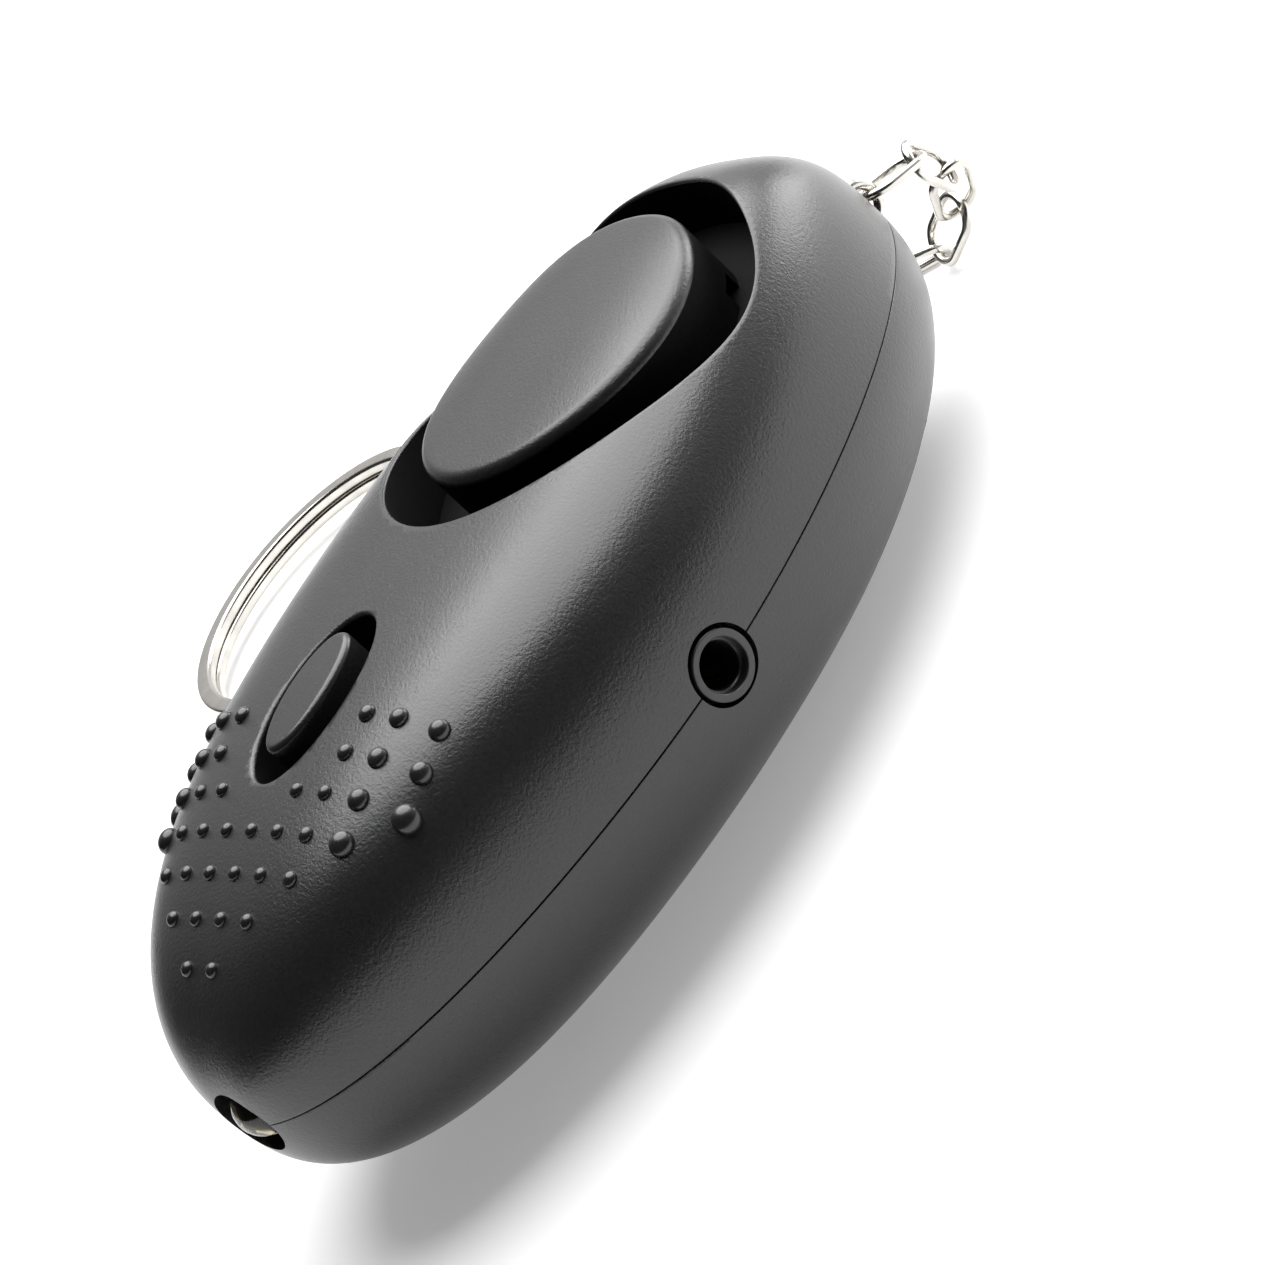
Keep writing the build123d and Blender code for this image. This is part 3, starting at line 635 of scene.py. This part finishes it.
domes = []
for row, (first, last) in enumerate(bump_rows):
    for column in range(first, last + 1):
        dome_x = bump_pitch_x * (column + 1 / 2)
        dome_y = bump_first_y - bump_pitch_y * row
        dome_radius = bump_radii[row][column - first]
        domes += [dome(dome_radius, dome_x, dome_y), dome(dome_radius, -dome_x, dome_y)]
grip_bumps = join("grip_bumps", domes)
finish_smooth(grip_bumps, degrees=50)
polished_abs = plastic(
    "polished_abs", black_abs, roughness=0.24, grain_scale=1200.0, grain_depth=0.000004)
fit(grip_bumps, polished_abs, "shell_plastic", "alarm_body")

# Rear shell
# The back half of the body, in the same black ABS, with the battery tray and the screw bosses inside.
# It meets the front at a fine parting line and is cut flat where the alarm rests.
cell_y = 20.0
door_half_x = 12.0
door_half_y = 9.0
door_thickness = 1.6
door_gap = 0.25
door_corner = 1.2
window_half_x = 8.9
window_half_y = 6.1
screw_spots = ((-8.0, -24.0), (8.0, -24.0), (0.0, 35.0))
screw_seat_z = 8.0
counterbore_radius = 2.35
door_screw_y = 12.7
door_screw_radius = 0.8
door_zone_high_z = seam_z - 6
window_high_z = 4
counterbore_high_z = screw_seat_z - 1.5
rear_skin = egg_half("rear_shell_skin", 0, False, *skin_steps, seam_lip)
cut(rear_skin, egg_half(
    "rear_room", skin_wall, False, *room_steps, past=tool_past))
combine(rear_skin, core_of("rear_shell", False), "UNION")
door_tool = block(
    (-door_half_x - door_gap, cell_y - door_half_y - door_gap, -far),
    (door_half_x + door_gap, cell_y + door_half_y + door_gap, seam_z), door_corner + door_gap)
cut(door_tool, egg_half(
    "door_floor", door_thickness, False, *door_steps, past=tool_past))
cut(door_tool, block((-far, -far, door_zone_high_z), (far, far, far)))
cut(rear_skin, door_tool)
cut(rear_skin, block(
    (-window_half_x - cut_play, cell_y - window_half_y - cut_play, -far),
    (window_half_x + cut_play, cell_y + window_half_y + cut_play, window_high_z)))
for screw_x, screw_y in screw_spots:
    cut(rear_skin, drill(
        counterbore_radius + cut_play,
        (screw_x, screw_y, -far), (screw_x, screw_y, counterbore_high_z)))
cut(rear_skin, drill(
    door_screw_radius + cut_play,
    (0, door_screw_y, -far), (0, door_screw_y, window_high_z)))
cut(rear_skin, block((-far, -far, -far), (far, far, cut_play)))
cut_seam_openings(rear_skin)
finish_smooth(rear_skin)
fit(rear_skin, etched_abs, "shell_plastic", "alarm_body", "rear_shell")

# Battery door
# A snap-in panel of the same ABS in the back, flush with the rear shell, held by one small screw.
# Its edges are eased so that the gap round it reads as a fine line.
door_edge_round = 0.18
door_head_hole_radius = 1.55
door_shank_hole_radius = 0.85
door_head_z = 0.6
door_drill_low_z = -1
door_skin = block(
    (-door_half_x, cell_y - door_half_y, -far),
    (door_half_x, cell_y + door_half_y, door_zone_high_z), door_corner)
combine(door_skin, egg_half("door_outside", 0, False, *skin_steps), "INTERSECT")
cut(door_skin, egg_half(
    "door_inside", door_thickness - cut_play, False, *door_steps))
cut(door_skin, block((-far, -far, -far), (far, far, cut_play)))
for hole_radius, hole_high_z in (
        (door_head_hole_radius, door_head_z), (door_shank_hole_radius, window_high_z)):
    cut(door_skin, drill(
        hole_radius, (0, door_screw_y, door_drill_low_z), (0, door_screw_y, hole_high_z)))
only(door_skin)
ease = door_skin.modifiers.new("ease", "BEVEL")
ease.width = door_edge_round * mm
ease.segments = 2
ease.limit_method = "ANGLE"
ease.angle_limit = math.radians(60)
bpy.ops.object.modifier_apply(modifier=ease.name)
door_skin.name = "battery_door_skin"
finish_smooth(door_skin)
fit(door_skin, etched_abs, "shell_plastic", "alarm_body", "battery_door")

# Screws
# Cross-recessed self-tapping screws of zinc-plated steel, with round pan heads and coarse threads.
# Three join the shells from the back, two hold the board, and a small one locks the battery door.
cross_width = 0.32
thread_depth = 0.14
board_top = 11.7
board_screw_x = 7.0
board_screw_y = -31.0


def turned(name, outline, start, ahead, turns=64):
    """Spins an outline of (along, radius) pairs round a line, in millimetres."""
    mesh = bpy.data.meshes.new(name)
    points = [Vector((radius, 0, along)) * mm for along, radius in outline]
    mesh.from_pydata(points, [(i, i + 1) for i in range(len(points) - 1)], [])
    piece = bpy.data.objects.new(name, mesh)
    bpy.context.scene.collection.objects.link(piece)
    only(piece)
    bpy.ops.object.mode_set(mode="EDIT")
    bpy.ops.mesh.select_all(action="SELECT")
    bpy.ops.mesh.spin(steps=turns, angle=math.tau, center=(0, 0, 0), axis=(0, 0, 1))
    bpy.ops.mesh.select_all(action="SELECT")
    bpy.ops.mesh.remove_doubles(threshold=1e-6)
    bpy.ops.mesh.normals_make_consistent(inside=False)
    bpy.ops.object.mode_set(mode="OBJECT")
    mesh.transform(Matrix.Translation(Vector(start) * mm) @ turn_to(ahead))
    return piece


def screw(name, head_radius, head_height, shank_radius, length, seat, ahead):
    """A pan-head screw with its seat under the head at a point, driven ahead."""
    thread_pitch = shank_radius * 0.55
    outline = [(-head_height, 0), (-head_height, head_radius * 0.55)]
    for step in range(1, 6):
        angle = math.pi / 2 * step / 5
        outline.append((
            -head_height + head_height * 0.7 * (1 - math.cos(angle)),
            head_radius * (0.55 + 0.45 * math.sin(angle))))
    outline += [(0, head_radius), (0, shank_radius - thread_depth)]
    along = thread_pitch
    while along < length - 2 * thread_pitch:
        outline += [
            (along, shank_radius - thread_depth), (along + thread_pitch * 0.35, shank_radius),
            (along + thread_pitch * 0.65, shank_radius)]
        along += thread_pitch
    outline += [(length - thread_pitch, shank_radius * 0.6), (length, 0)]
    piece = turned(name, outline, (0, 0, 0), (0, 0, 1), 32)
    for across in (0, 1):
        arm = Vector((head_radius * 0.62, cross_width * head_radius / 1.5, 1))
        if across:
            arm = Vector((arm.y, arm.x, 1))
        cut(piece, block(
            (-arm.x, -arm.y, -head_height - 1), (arm.x, arm.y, -head_height * 0.45)))
    piece.data.transform(Matrix.Translation(Vector(seat) * mm) @ turn_to(ahead))
    return piece


metal_group, given, result = new_group(
    "worn_metal",
    (("Roughness", value_socket), ("Tone", colour_socket), ("Scratch Scale", value_socket)),
    (("Height", value_socket), ("Roughness", value_socket), ("Tone", colour_socket)))
place = metal_group.nodes.new("ShaderNodeTexCoord")
stretch = metal_group.nodes.new("ShaderNodeMapping")
stretch.inputs["Rotation"].default_value = (0.5, 0.3, 0.7)
stretch.inputs["Scale"].default_value = (1, 1, 0.12)
metal_group.links.new(place.outputs["Object"], stretch.inputs["Vector"])
scratches = noise(metal_group, 1.0, 4.0, stretch.outputs["Vector"])
metal_group.links.new(given.outputs["Scratch Scale"], scratches.inputs["Scale"])
haze = noise(metal_group, 420.0, 3.0, place.outputs["Object"])
metal_group.links.new(scratches.outputs["Fac"], result.inputs["Height"])
hazy = ranged(metal_group, haze.outputs["Fac"], *noise_span, -0.05, 0.09)
metal_group.links.new(
    added(metal_group, given.outputs["Roughness"], hazy), result.inputs["Roughness"])
dulled = ranged(metal_group, haze.outputs["Fac"], *noise_span, 1.06, 0.86)
metal_group.links.new(
    scaled_tone(metal_group, given.outputs["Tone"], dulled), result.inputs["Tone"])


def metal(name, tone, roughness, scratch_scale=3000.0, scratch_depth=0.000001):
    """A metal with fine scratches and a little haze."""
    settings = {"Scratch Scale": scratch_scale, "Roughness": roughness, "Tone": (*tone, 1)}
    material, surface = surface_from(name, metal_group, settings, scratch_depth)
    surface.inputs["Metallic"].default_value = 1.0
    return material


zinc_steel = metal("zinc_steel", (0.56, 0.56, 0.55), 0.28)
shell_screws = join("shell_screws_turned", [
    screw(
        "shell_screw", head_radius=2.1, head_height=1.4, shank_radius=1.0, length=12.0,
        seat=(x, y, screw_seat_z), ahead=(0, 0, 1)) for x, y in screw_spots])
finish_smooth(shell_screws)
fit(shell_screws, zinc_steel, "steel", "alarm_body", "shell_screws")
board_screws = join("board_screws_turned", [
    screw(
        "board_screw", head_radius=1.8, head_height=1.2, shank_radius=0.8, length=5.0,
        seat=(x, board_screw_y, board_top), ahead=(0, 0, -1))
    for x in (-board_screw_x, board_screw_x)])
finish_smooth(board_screws)
fit(board_screws, zinc_steel, "steel", "alarm_body", "board_screws")
door_screw = screw(
    "door_screw_turned", head_radius=1.5, head_height=0.6, shank_radius=0.8, length=3.4,
    seat=(0, door_screw_y, door_head_z), ahead=(0, 0, 1))
finish_smooth(door_screw)
fit(door_screw, zinc_steel, "steel", "alarm_body", "door_screw")

# Siren cap
# A round cap of the same ABS on the moat's floor, crowned like the shell with a softly rounded rim.
# It is hollow over the sounder, and eight ports at its foot let the sound out into the moat.
cap_radius = 13.4
cap_proud = 0.3
cap_rounding = 0.95
cap_wall = 1.4
cap_ceiling_z = seam_z + 12.2
port_count = 8
port_width = 3.0
port_height = 1.6
first_share = 0.05
top_rings = 22
edge_steps = 10


def crowned_post(name, half_x, half_y, middle_y, proud, rounding, low_z, turns):
    """A post whose top follows the crown and turns over a soft edge into its side."""
    levels = []
    for ring in range(top_rings + 1):
        share = first_share + (1 - first_share) * ring / top_rings
        levels.append(((half_x - rounding) * share, (half_y - rounding) * share, 0.0))
    for step in range(1, edge_steps + 1):
        angle = math.pi / 2 * step / edge_steps
        grow = rounding * math.sin(angle)
        levels.append((
            half_x - rounding + grow, half_y - rounding + grow, rounding * (1 - math.cos(angle))))
    rings = []
    for reach_x, reach_y, drop in levels:
        rings.append([])
        for turn in range(turns):
            angle = math.tau * turn / turns
            x = reach_x * math.cos(angle)
            y = middle_y + reach_y * math.sin(angle)
            rings[-1].append((x, y, crown_z(x, y) + proud - drop))
    rings.append([(x, y, low_z) for x, y, _ in rings[-1]])
    return joined_rings(name, rings)


siren_cap = crowned_post(
    "siren_cap_moulding", cap_radius, cap_radius, siren_y,
    cap_proud, cap_rounding, moat_floor_z, moat_turns)
cut(siren_cap, drill(
    cap_radius - cap_wall,
    (0, siren_y, moat_floor_z - 1), (0, siren_y, cap_ceiling_z)))
for port in range(port_count):
    angle = math.tau * port / port_count
    notch = block(
        (cap_radius - 2 * cap_wall, -port_width / 2, -1),
        (cap_radius + cap_wall, port_width / 2, port_height))
    notch.data.transform(
        Matrix.Translation(Vector((0, siren_y, moat_floor_z)) * mm) @ Matrix.Rotation(angle, 4, "Z"))
    cut(siren_cap, notch)
finish_smooth(siren_cap)
cap_abs = plastic(
    "cap_abs", black_abs, roughness=0.31, grain_scale=3800.0, grain_depth=0.000034)
fit(siren_cap, cap_abs, "cap_plastic", "alarm_body", "siren_cap")
# Painted shade: the cap's side and foot below its rounded rim, down in the moat, take the same near-black
# tone with weak reflection.
siren_cap.data.materials.append(painted_shade_abs)
for face in siren_cap.data.polygons:
    x, y, z = face.center / mm
    if z < crown_z(x, y) + cap_proud - cap_rounding:
        face.material_index = 1

# Light button
# The oval push button of the lamp, in satin ABS with a rounded edge that catches the light.
# Its stem goes down through the well's floor onto the switch.
# A flange on the stem keeps it from falling out.
button_half_x = 2.95
button_half_y = 5.4
button_proud = 0.8
button_rounding = 0.5
button_low_z = well_floor_z + 0.6
stem_radius = 1.4
plunger_top_z = board_top + 4.4
flange_high_z = well_floor_z - 1.8
flange_thickness = 0.6
flange_radius = 2.4
stem_sink = 0.5
light_button = crowned_post(
    "light_button_moulding", button_half_x, button_half_y, button_y,
    button_proud, button_rounding, button_low_z, well_turns)
flange_foot = flange_high_z - flange_thickness - plunger_top_z
flange_head = flange_high_z - plunger_top_z
stem_length = button_low_z + stem_sink - plunger_top_z
stem_outline = [
    (0, 0), (0, stem_radius), (flange_foot, stem_radius), (flange_foot, flange_radius),
    (flange_head, flange_radius), (flange_head, stem_radius),
    (stem_length, stem_radius), (stem_length, 0)]
combine(light_button, turned(
    "stem", stem_outline, (0, button_y, plunger_top_z), (0, 0, 1), 48), "UNION")
finish_smooth(light_button)
button_abs = plastic(
    "button_abs", black_abs, roughness=0.29, grain_scale=4600.0, grain_depth=0.00002)
fit(light_button, button_abs, "button_plastic", "light_button", "light_button")

# Pin socket
# A glossier black nylon block behind the parting line, with a bush that comes out through the side.
# The bush's bore takes the pull pin, and two springs inside tell when the pin has left it.
bush_radius = 2.72
bore_radius = 1.8
counterbore_mouth = 2.08
counterbore_depth = 0.7
socket_face_x = 23.9
bush_lip = 0.14
bush_foot_x = 18.0
bush_steps = 5
bore_end_x = 12.9
mouth_ease = 0.08
socket_back_x = 12.0
socket_half_y = 3.5
socket_half_z = 2.7
slot_low_x = 14.4
slot_high_x = 21.4
slot_half_y = 0.6
slot_half_z = 2.15
pin_socket = block(
    (socket_back_x, socket_y - socket_half_y, seam_z - socket_half_z),
    (socket_shoulder_x, socket_y + socket_half_y, seam_z + socket_half_z), 0.3)
bush_outline = [(0, 0), (0, bush_radius)]
for step in range(bush_steps + 1):
    angle = math.pi / 2 * step / bush_steps
    bush_outline.append((
        socket_face_x - bush_lip * (1 - math.sin(angle)) - bush_foot_x,
        bush_radius - bush_lip * (1 - math.cos(angle))))
bush_outline.append((socket_face_x - bush_foot_x, 0))
combine(pin_socket, turned(
    "bush", bush_outline, (bush_foot_x, socket_y, seam_z), (1, 0, 0), 72), "UNION")
bore_length = socket_face_x - bore_end_x
step_along = bore_length - counterbore_depth
mouth_radius = counterbore_mouth + mouth_ease
bore_outline = [
    (0, 0), (0, bore_radius), (step_along - 0.1, bore_radius),
    (step_along, bore_radius + mouth_ease), (step_along, counterbore_mouth),
    (bore_length - 0.06, counterbore_mouth), (bore_length + 0.02, mouth_radius),
    (bore_length + 1, mouth_radius), (bore_length + 1, 0)]
cut(pin_socket, turned(
    "bore", bore_outline, (bore_end_x, socket_y, seam_z), (1, 0, 0), 72))
cut(pin_socket, block(
    (slot_low_x, socket_y - slot_half_y, seam_z - slot_half_z),
    (slot_high_x, socket_y + slot_half_y, seam_z + slot_half_z)))
pin_socket.name = "pin_socket_moulding"
finish_smooth(pin_socket)
socket_nylon = plastic(
    "socket_nylon", black_abs, roughness=0.33, grain_scale=1800.0, grain_depth=0.000012)
fit(pin_socket, socket_nylon, "socket_plastic", "alarm_body", "pin_socket")

# Lamp
# A 5 mm white LED: a clear epoxy bullet with a flange, a reflector cup and yellow phosphor inside.
# It sits in the nose of the body, and its tinned leads go back to the board.
led_radius = 2.5
led_flange_radius = 2.9
led_base_y = -39.6
led_flange_height = 1.0
led_ease = 0.1
led_dome_foot = 2.2
led_dome_steps = 12
led_outline = [
    (0, 0), (0, led_flange_radius - led_ease), (led_ease, led_flange_radius),
    (led_flange_height - led_ease, led_flange_radius),
    (led_flange_height, led_flange_radius - led_ease), (led_flange_height, led_radius),
    (led_dome_foot, led_radius)]
for step in range(1, led_dome_steps + 1):
    angle = math.pi / 2 * step / led_dome_steps
    led_outline.append((
        led_dome_foot + led_radius * math.sin(angle), led_radius * math.cos(angle)))
led_lens = turned("led_lens_epoxy", led_outline, (0, led_base_y, seam_z), (0, -1, 0), 48)
finish_smooth(led_lens, degrees=50)
epoxy_settings = {"Grain Scale": 300.0, "Roughness": 0.05, "Tone": (0.78, 0.68, 0.48, 1)}
epoxy, epoxy_surface = surface_from("clear_epoxy", grain_group, epoxy_settings, 0.000002)
epoxy_surface.inputs["Transmission Weight"].default_value = 1.0
epoxy_surface.inputs["IOR"].default_value = 1.53
fit(led_lens, epoxy, "clear", "alarm_body", "led_lens")
led_cup = turned("led_reflector_cup", [
    (0.15, 0), (0.15, 0.5), (0.9, 0.5), (1.3, 1.15), (1.9, 1.35), (1.9, 1.2), (1.35, 0.75), (1.2, 0)],
    (0, led_base_y, seam_z), (0, -1, 0), 36)
finish_smooth(led_cup)
fit(led_cup, metal("cup_silver", (0.72, 0.71, 0.68), 0.22), "steel", "alarm_body")
led_phosphor = turned(
    "led_phosphor", [(1.25, 0), (1.3, 0.7), (1.6, 0.9), (1.78, 0.55), (1.85, 0)],
    (0, led_base_y, seam_z), (0, -1, 0), 36)
finish_smooth(led_phosphor, degrees=60)
phosphor = plastic("phosphor", (0.72, 0.50, 0.06), 0.6, 2400.0, 0.00001)
fit(led_phosphor, phosphor, "component", "alarm_body")

# Keyring eye, chain and split ring
# Nickel-plated steel: a wire eye on a cross pin, fifteen welded links and a ring of two coils.
# The chain hangs from the pocket, lies along the table and ends in the ring that holds the pull pin.
link_wire = 0.8
link_length = 7.2
link_width = 4.4
eye_wire = 0.9
eye_length = 6.0
eye_width = 4.4
link_count = 15
ring_radius = 15.0
ring_wire_width = 1.6
ring_wire_height = 1.06
ring_height = 2.2
eye_pin_half = 5.0
eye_pin_y = 41.75


def wire_loop(name, length, width, wire):
    """A closed oval of round wire, long along X."""
    bend = (width - wire) / 2
    straight = (length - width) / 2
    line = []
    for side in (1, -1):
        for step in range(17):
            angle = math.pi * (step / 16 - 1 / 2)
            line.append((
                side * (straight + bend * math.cos(angle)), side * bend * math.sin(angle)))
    curve = bpy.data.curves.new(name, "CURVE")
    curve.dimensions = "3D"
    spline = curve.splines.new("POLY")
    spline.points.add(len(line) - 1)
    for point, (x, y) in zip(spline.points, line):
        point.co = (x * mm, y * mm, 0, 1)
    spline.use_cyclic_u = True
    curve.bevel_depth = wire / 2 * mm
    curve.bevel_resolution = 6
    loop = bpy.data.objects.new(name, curve)
    bpy.context.scene.collection.objects.link(loop)
    only(loop)
    bpy.ops.object.convert(target="MESH")
    set_normals(loop)
    finish_smooth(loop, degrees=60)
    return loop


def node_axes(node):
    """The middle of a frame piece and its own long, broad and thin directions, as a matrix."""
    corners = np.array([corner.co[:] for corner in bpy.data.objects[node].data.vertices])
    corners = np.unique(corners.round(7), axis=0)
    middle = corners.mean(axis=0)
    _, directions = np.linalg.eigh(np.cov((corners - middle).T))
    long_way = Vector(directions[:, 2])
    thin_way = Vector(directions[:, 0])
    broad_way = thin_way.cross(long_way)
    turn = Matrix((long_way, broad_way, thin_way)).transposed().to_4x4()
    return Matrix.Translation(Vector(middle)) @ turn


nickel = metal("nickel_plate", (0.62, 0.60, 0.56), 0.16)
eye_pin_outline = [(0, 0), (0, 0.52), (0.1, 0.6), (9.9, 0.6), (10.0, 0.52), (10.0, 0)]
eye_pin = turned(
    "eye_pin_turned", eye_pin_outline, (-eye_pin_half, eye_pin_y, seam_z), (1, 0, 0), 32)
finish_smooth(eye_pin)
fit(eye_pin, nickel, "nickel", "alarm_body", "eye_pin")
eye = wire_loop("chain_eye_wire", eye_length, eye_width, eye_wire)
eye.data.transform(node_axes("chain_eye"))
fit(eye, nickel, "nickel", "chain_eye", "chain_eye")
first_link = wire_loop("link_shape", link_length, link_width, link_wire)
for number in range(1, link_count + 1):
    node = "chain_link_" + str(number).zfill(2)
    link = first_link.copy()
    link.data = first_link.data.copy()
    link.name = node + "_wire"
    bpy.context.scene.collection.objects.link(link)
    link.data.transform(node_axes(node))
    fit(link, nickel, "nickel", node, node)
bpy.data.objects.remove(first_link)

ring_low, ring_high = (Vector(corner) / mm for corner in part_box("split_ring"))
ring_middle = (ring_low + ring_high) / 2
ring_line = ring_radius - ring_wire_width / 2
ring_start = math.radians(100)
ring_jog = math.radians(26)
corner_round = 0.3
wire_section = []
for corner_x, corner_z, first_angle in ((1, 1, 0), (-1, 1, 90), (-1, -1, 180), (1, -1, 270)):
    for step in range(5):
        angle = math.radians(first_angle + 90 * step / 4)
        wire_section.append((
            corner_x * (ring_wire_width / 2 - corner_round) + corner_round * math.cos(angle),
            corner_z * (ring_wire_height / 2 - corner_round) + corner_round * math.sin(angle)))
rings = []
coil_steps = 260
coil_count = 2
coil_share = 0.985
for step in range(coil_steps + 1):
    along = coil_count * math.tau * coil_share * step / coil_steps
    rise = min(max((along - math.tau + ring_jog) / ring_jog, 0), 1)
    rise = rise * rise * (3 - 2 * rise)
    level = ring_middle.z + (rise - 0.5) * (ring_height - ring_wire_height)
    turn = ring_start + along
    rings.append([(
        ring_middle.x + (ring_line + out) * math.cos(turn),
        ring_middle.y + (ring_line + out) * math.sin(turn),
        level + up) for out, up in wire_section])
split_ring = joined_rings("split_ring_coil", rings)
finish_smooth(split_ring, degrees=40)
fit(split_ring, nickel, "nickel", "split_ring", "split_ring")

# Pull pin
# The key of the alarm, moulded in black nylon: a lug for the ring, a waisted grip and a round shank.
# Pushed into the bush it parts the two springs, and pulled out it sets off the siren.
lug_hole_radius = 1.6
lug_wall = 0.6
lug_thickness = 2.0
grip_length = 9.0
grip_radius = 2.2
pin_radius = 1.75
pin_length = 12.0
groove_count = 2
groove_width = 0.9
groove_depth = 0.35
lug_ease = 0.2
pin_heading = math.radians(-45)
outward = Vector((math.cos(pin_heading), math.sin(pin_heading), 0))
along_ring = Vector((-math.sin(pin_heading), math.cos(pin_heading), 0))
lug_spot = ring_middle + outward * ring_line
grip_outline = [(0, 0), (0, grip_radius - 0.4), (0.12, grip_radius - 0.12), (0.4, grip_radius)]
for groove in range(groove_count):
    groove_low = groove_width * (2 * groove + 3)
    grip_outline += [
        (groove_low, grip_radius), (groove_low + 0.12, grip_radius - 0.28),
        (groove_low + 0.3, grip_radius - groove_depth), (groove_low + 0.6, grip_radius - groove_depth),
        (groove_low + 0.78, grip_radius - 0.28), (groove_low + groove_width, grip_radius)]
pin_end = grip_length + pin_length
grip_outline += [
    (grip_length - 0.3, grip_radius), (grip_length - 0.08, grip_radius - 0.1),
    (grip_length, grip_radius - 0.3), (grip_length, pin_radius), (pin_end - 0.8, pin_radius),
    (pin_end - 0.35, pin_radius - 0.15), (pin_end - 0.08, pin_radius - 0.5),
    (pin_end, pin_radius - 0.9), (pin_end, 0)]
pull_pin = turned(
    "pull_pin_moulding", grip_outline, lug_spot + outward * (lug_hole_radius + lug_wall / 2), outward, 56)
lug_radius = lug_hole_radius + lug_wall
lug_outline = [
    (0, 0), (0, lug_radius - lug_ease), (lug_ease, lug_radius),
    (lug_thickness - lug_ease, lug_radius), (lug_thickness, lug_radius - lug_ease),
    (lug_thickness, 0)]
lug = turned("lug", lug_outline, lug_spot - along_ring * (lug_thickness / 2), along_ring, 56)
combine(pull_pin, lug, "UNION")
cut(pull_pin, drill(
    lug_hole_radius,
    lug_spot - along_ring * lug_thickness, lug_spot + along_ring * lug_thickness))
finish_smooth(pull_pin)
pin_nylon = plastic(
    "pin_nylon", (0.018, 0.018, 0.019), roughness=0.30, grain_scale=1800.0, grain_depth=0.00001)
fit(pull_pin, pin_nylon, "pin_plastic", "pull_pin", "pull_pin")

# Sounder, board and batteries
# Inside the shells the frame's own pieces stay and only get their finishes.
# They are brass and white ceramic, foam, green board, ferrite, tin, steel and coloured leads.
def dress(node, material):
    """Gives a piece of the frame one material all over."""
    slots = bpy.data.objects[node].material_slots
    for slot in slots:
        slot.material = material


brass = metal("sounder_brass", (0.78, 0.55, 0.22), 0.25)
tin = metal("tinned_wire", (0.70, 0.70, 0.69), 0.24)
ceramic = plastic("white_ceramic", (0.74, 0.72, 0.66), 0.45, 3200.0, 0.000006)
foam = plastic("grey_foam", (0.10, 0.10, 0.11), 0.92, 2200.0, 0.00012)
chip_epoxy = plastic("chip_epoxy", (0.028, 0.028, 0.030), 0.42, 5200.0, 0.000008)
ferrite = plastic("ferrite", (0.055, 0.050, 0.048), 0.55, 3600.0, 0.00001)
switch_body = plastic("switch_body", (0.03, 0.03, 0.03), 0.5, 3000.0, 0.00001)
plunger_plastic = plastic("plunger_plastic", (0.05, 0.05, 0.05), 0.35, 3000.0, 0.000006)
cell_steel = metal("cell_steel", (0.74, 0.74, 0.73), 0.18, 2000.0)
can_sleeve = plastic("can_sleeve", (0.03, 0.04, 0.13), 0.3, 1500.0, 0.000005)

board_settings = {"Grain Scale": 2600.0, "Roughness": 0.32, "Tone": (0.02, 0.16, 0.05, 1)}
board_material, board_surface = surface_from("green_board", grain_group, board_settings, 0.00001)
tree = board_material.node_tree
place = tree.nodes.new("ShaderNodeTexCoord")
tracks = tree.nodes.new("ShaderNodeTexBrick")
tracks.inputs["Scale"].default_value = 260.0
tracks.inputs["Mortar Size"].default_value = 0.06
tracks.inputs["Color1"].default_value = (0.016, 0.13, 0.04, 1)
tracks.inputs["Color2"].default_value = (0.02, 0.17, 0.055, 1)
tracks.inputs["Mortar"].default_value = (0.05, 0.26, 0.09, 1)
tree.links.new(place.outputs["Object"], tracks.inputs["Vector"])
tree.links.new(tracks.outputs["Color"], board_surface.inputs["Base Color"])

lead_red = (0.5, 0.03, 0.02, 1)
lead_black = (0.02, 0.02, 0.022, 1)
lead_settings = {"Grain Scale": 2000.0, "Roughness": 0.45, "Tone": lead_red}
lead_material, lead_surface = surface_from("lead_insulation", grain_group, lead_settings, 0.000006)
tree = lead_material.node_tree
place = tree.nodes.new("ShaderNodeTexCoord")
sides = tree.nodes.new("ShaderNodeSeparateXYZ")
tree.links.new(place.outputs["Object"], sides.inputs[0])
red_side = ranged(tree, sides.outputs["X"], 0.0002, 0.0004, 0.0, 1.0)
lead_tone = tree.nodes.new("ShaderNodeMix")
lead_tone.data_type = "RGBA"
lead_tone.inputs["A"].default_value = lead_black
lead_tone.inputs["B"].default_value = lead_red
tree.links.new(red_side, lead_tone.inputs["Factor"])
tree.links.new(lead_tone.outputs["Result"], lead_surface.inputs["Base Color"])

finishes = {
    "piezo_gasket": foam, "piezo_plate": brass, "piezo_ceramic": ceramic,
    "piezo_clamp_ring": chip_epoxy, "piezo_leads": lead_material,
    "battery_leads": lead_material, "button_switch": switch_body,
    "switch_plunger": plunger_plastic, "socket_contacts": brass, "led_leads": tin,
    "circuit_board": board_material, "step_up_coil": ferrite, "driver_chip": chip_epoxy,
    "transistor": chip_epoxy, "chip_resistors": chip_epoxy, "capacitors": can_sleeve,
    "button_cells": cell_steel, "battery_plate": tin, "battery_spring": tin,
}
for node, material in finishes.items():
    dress(node, material)
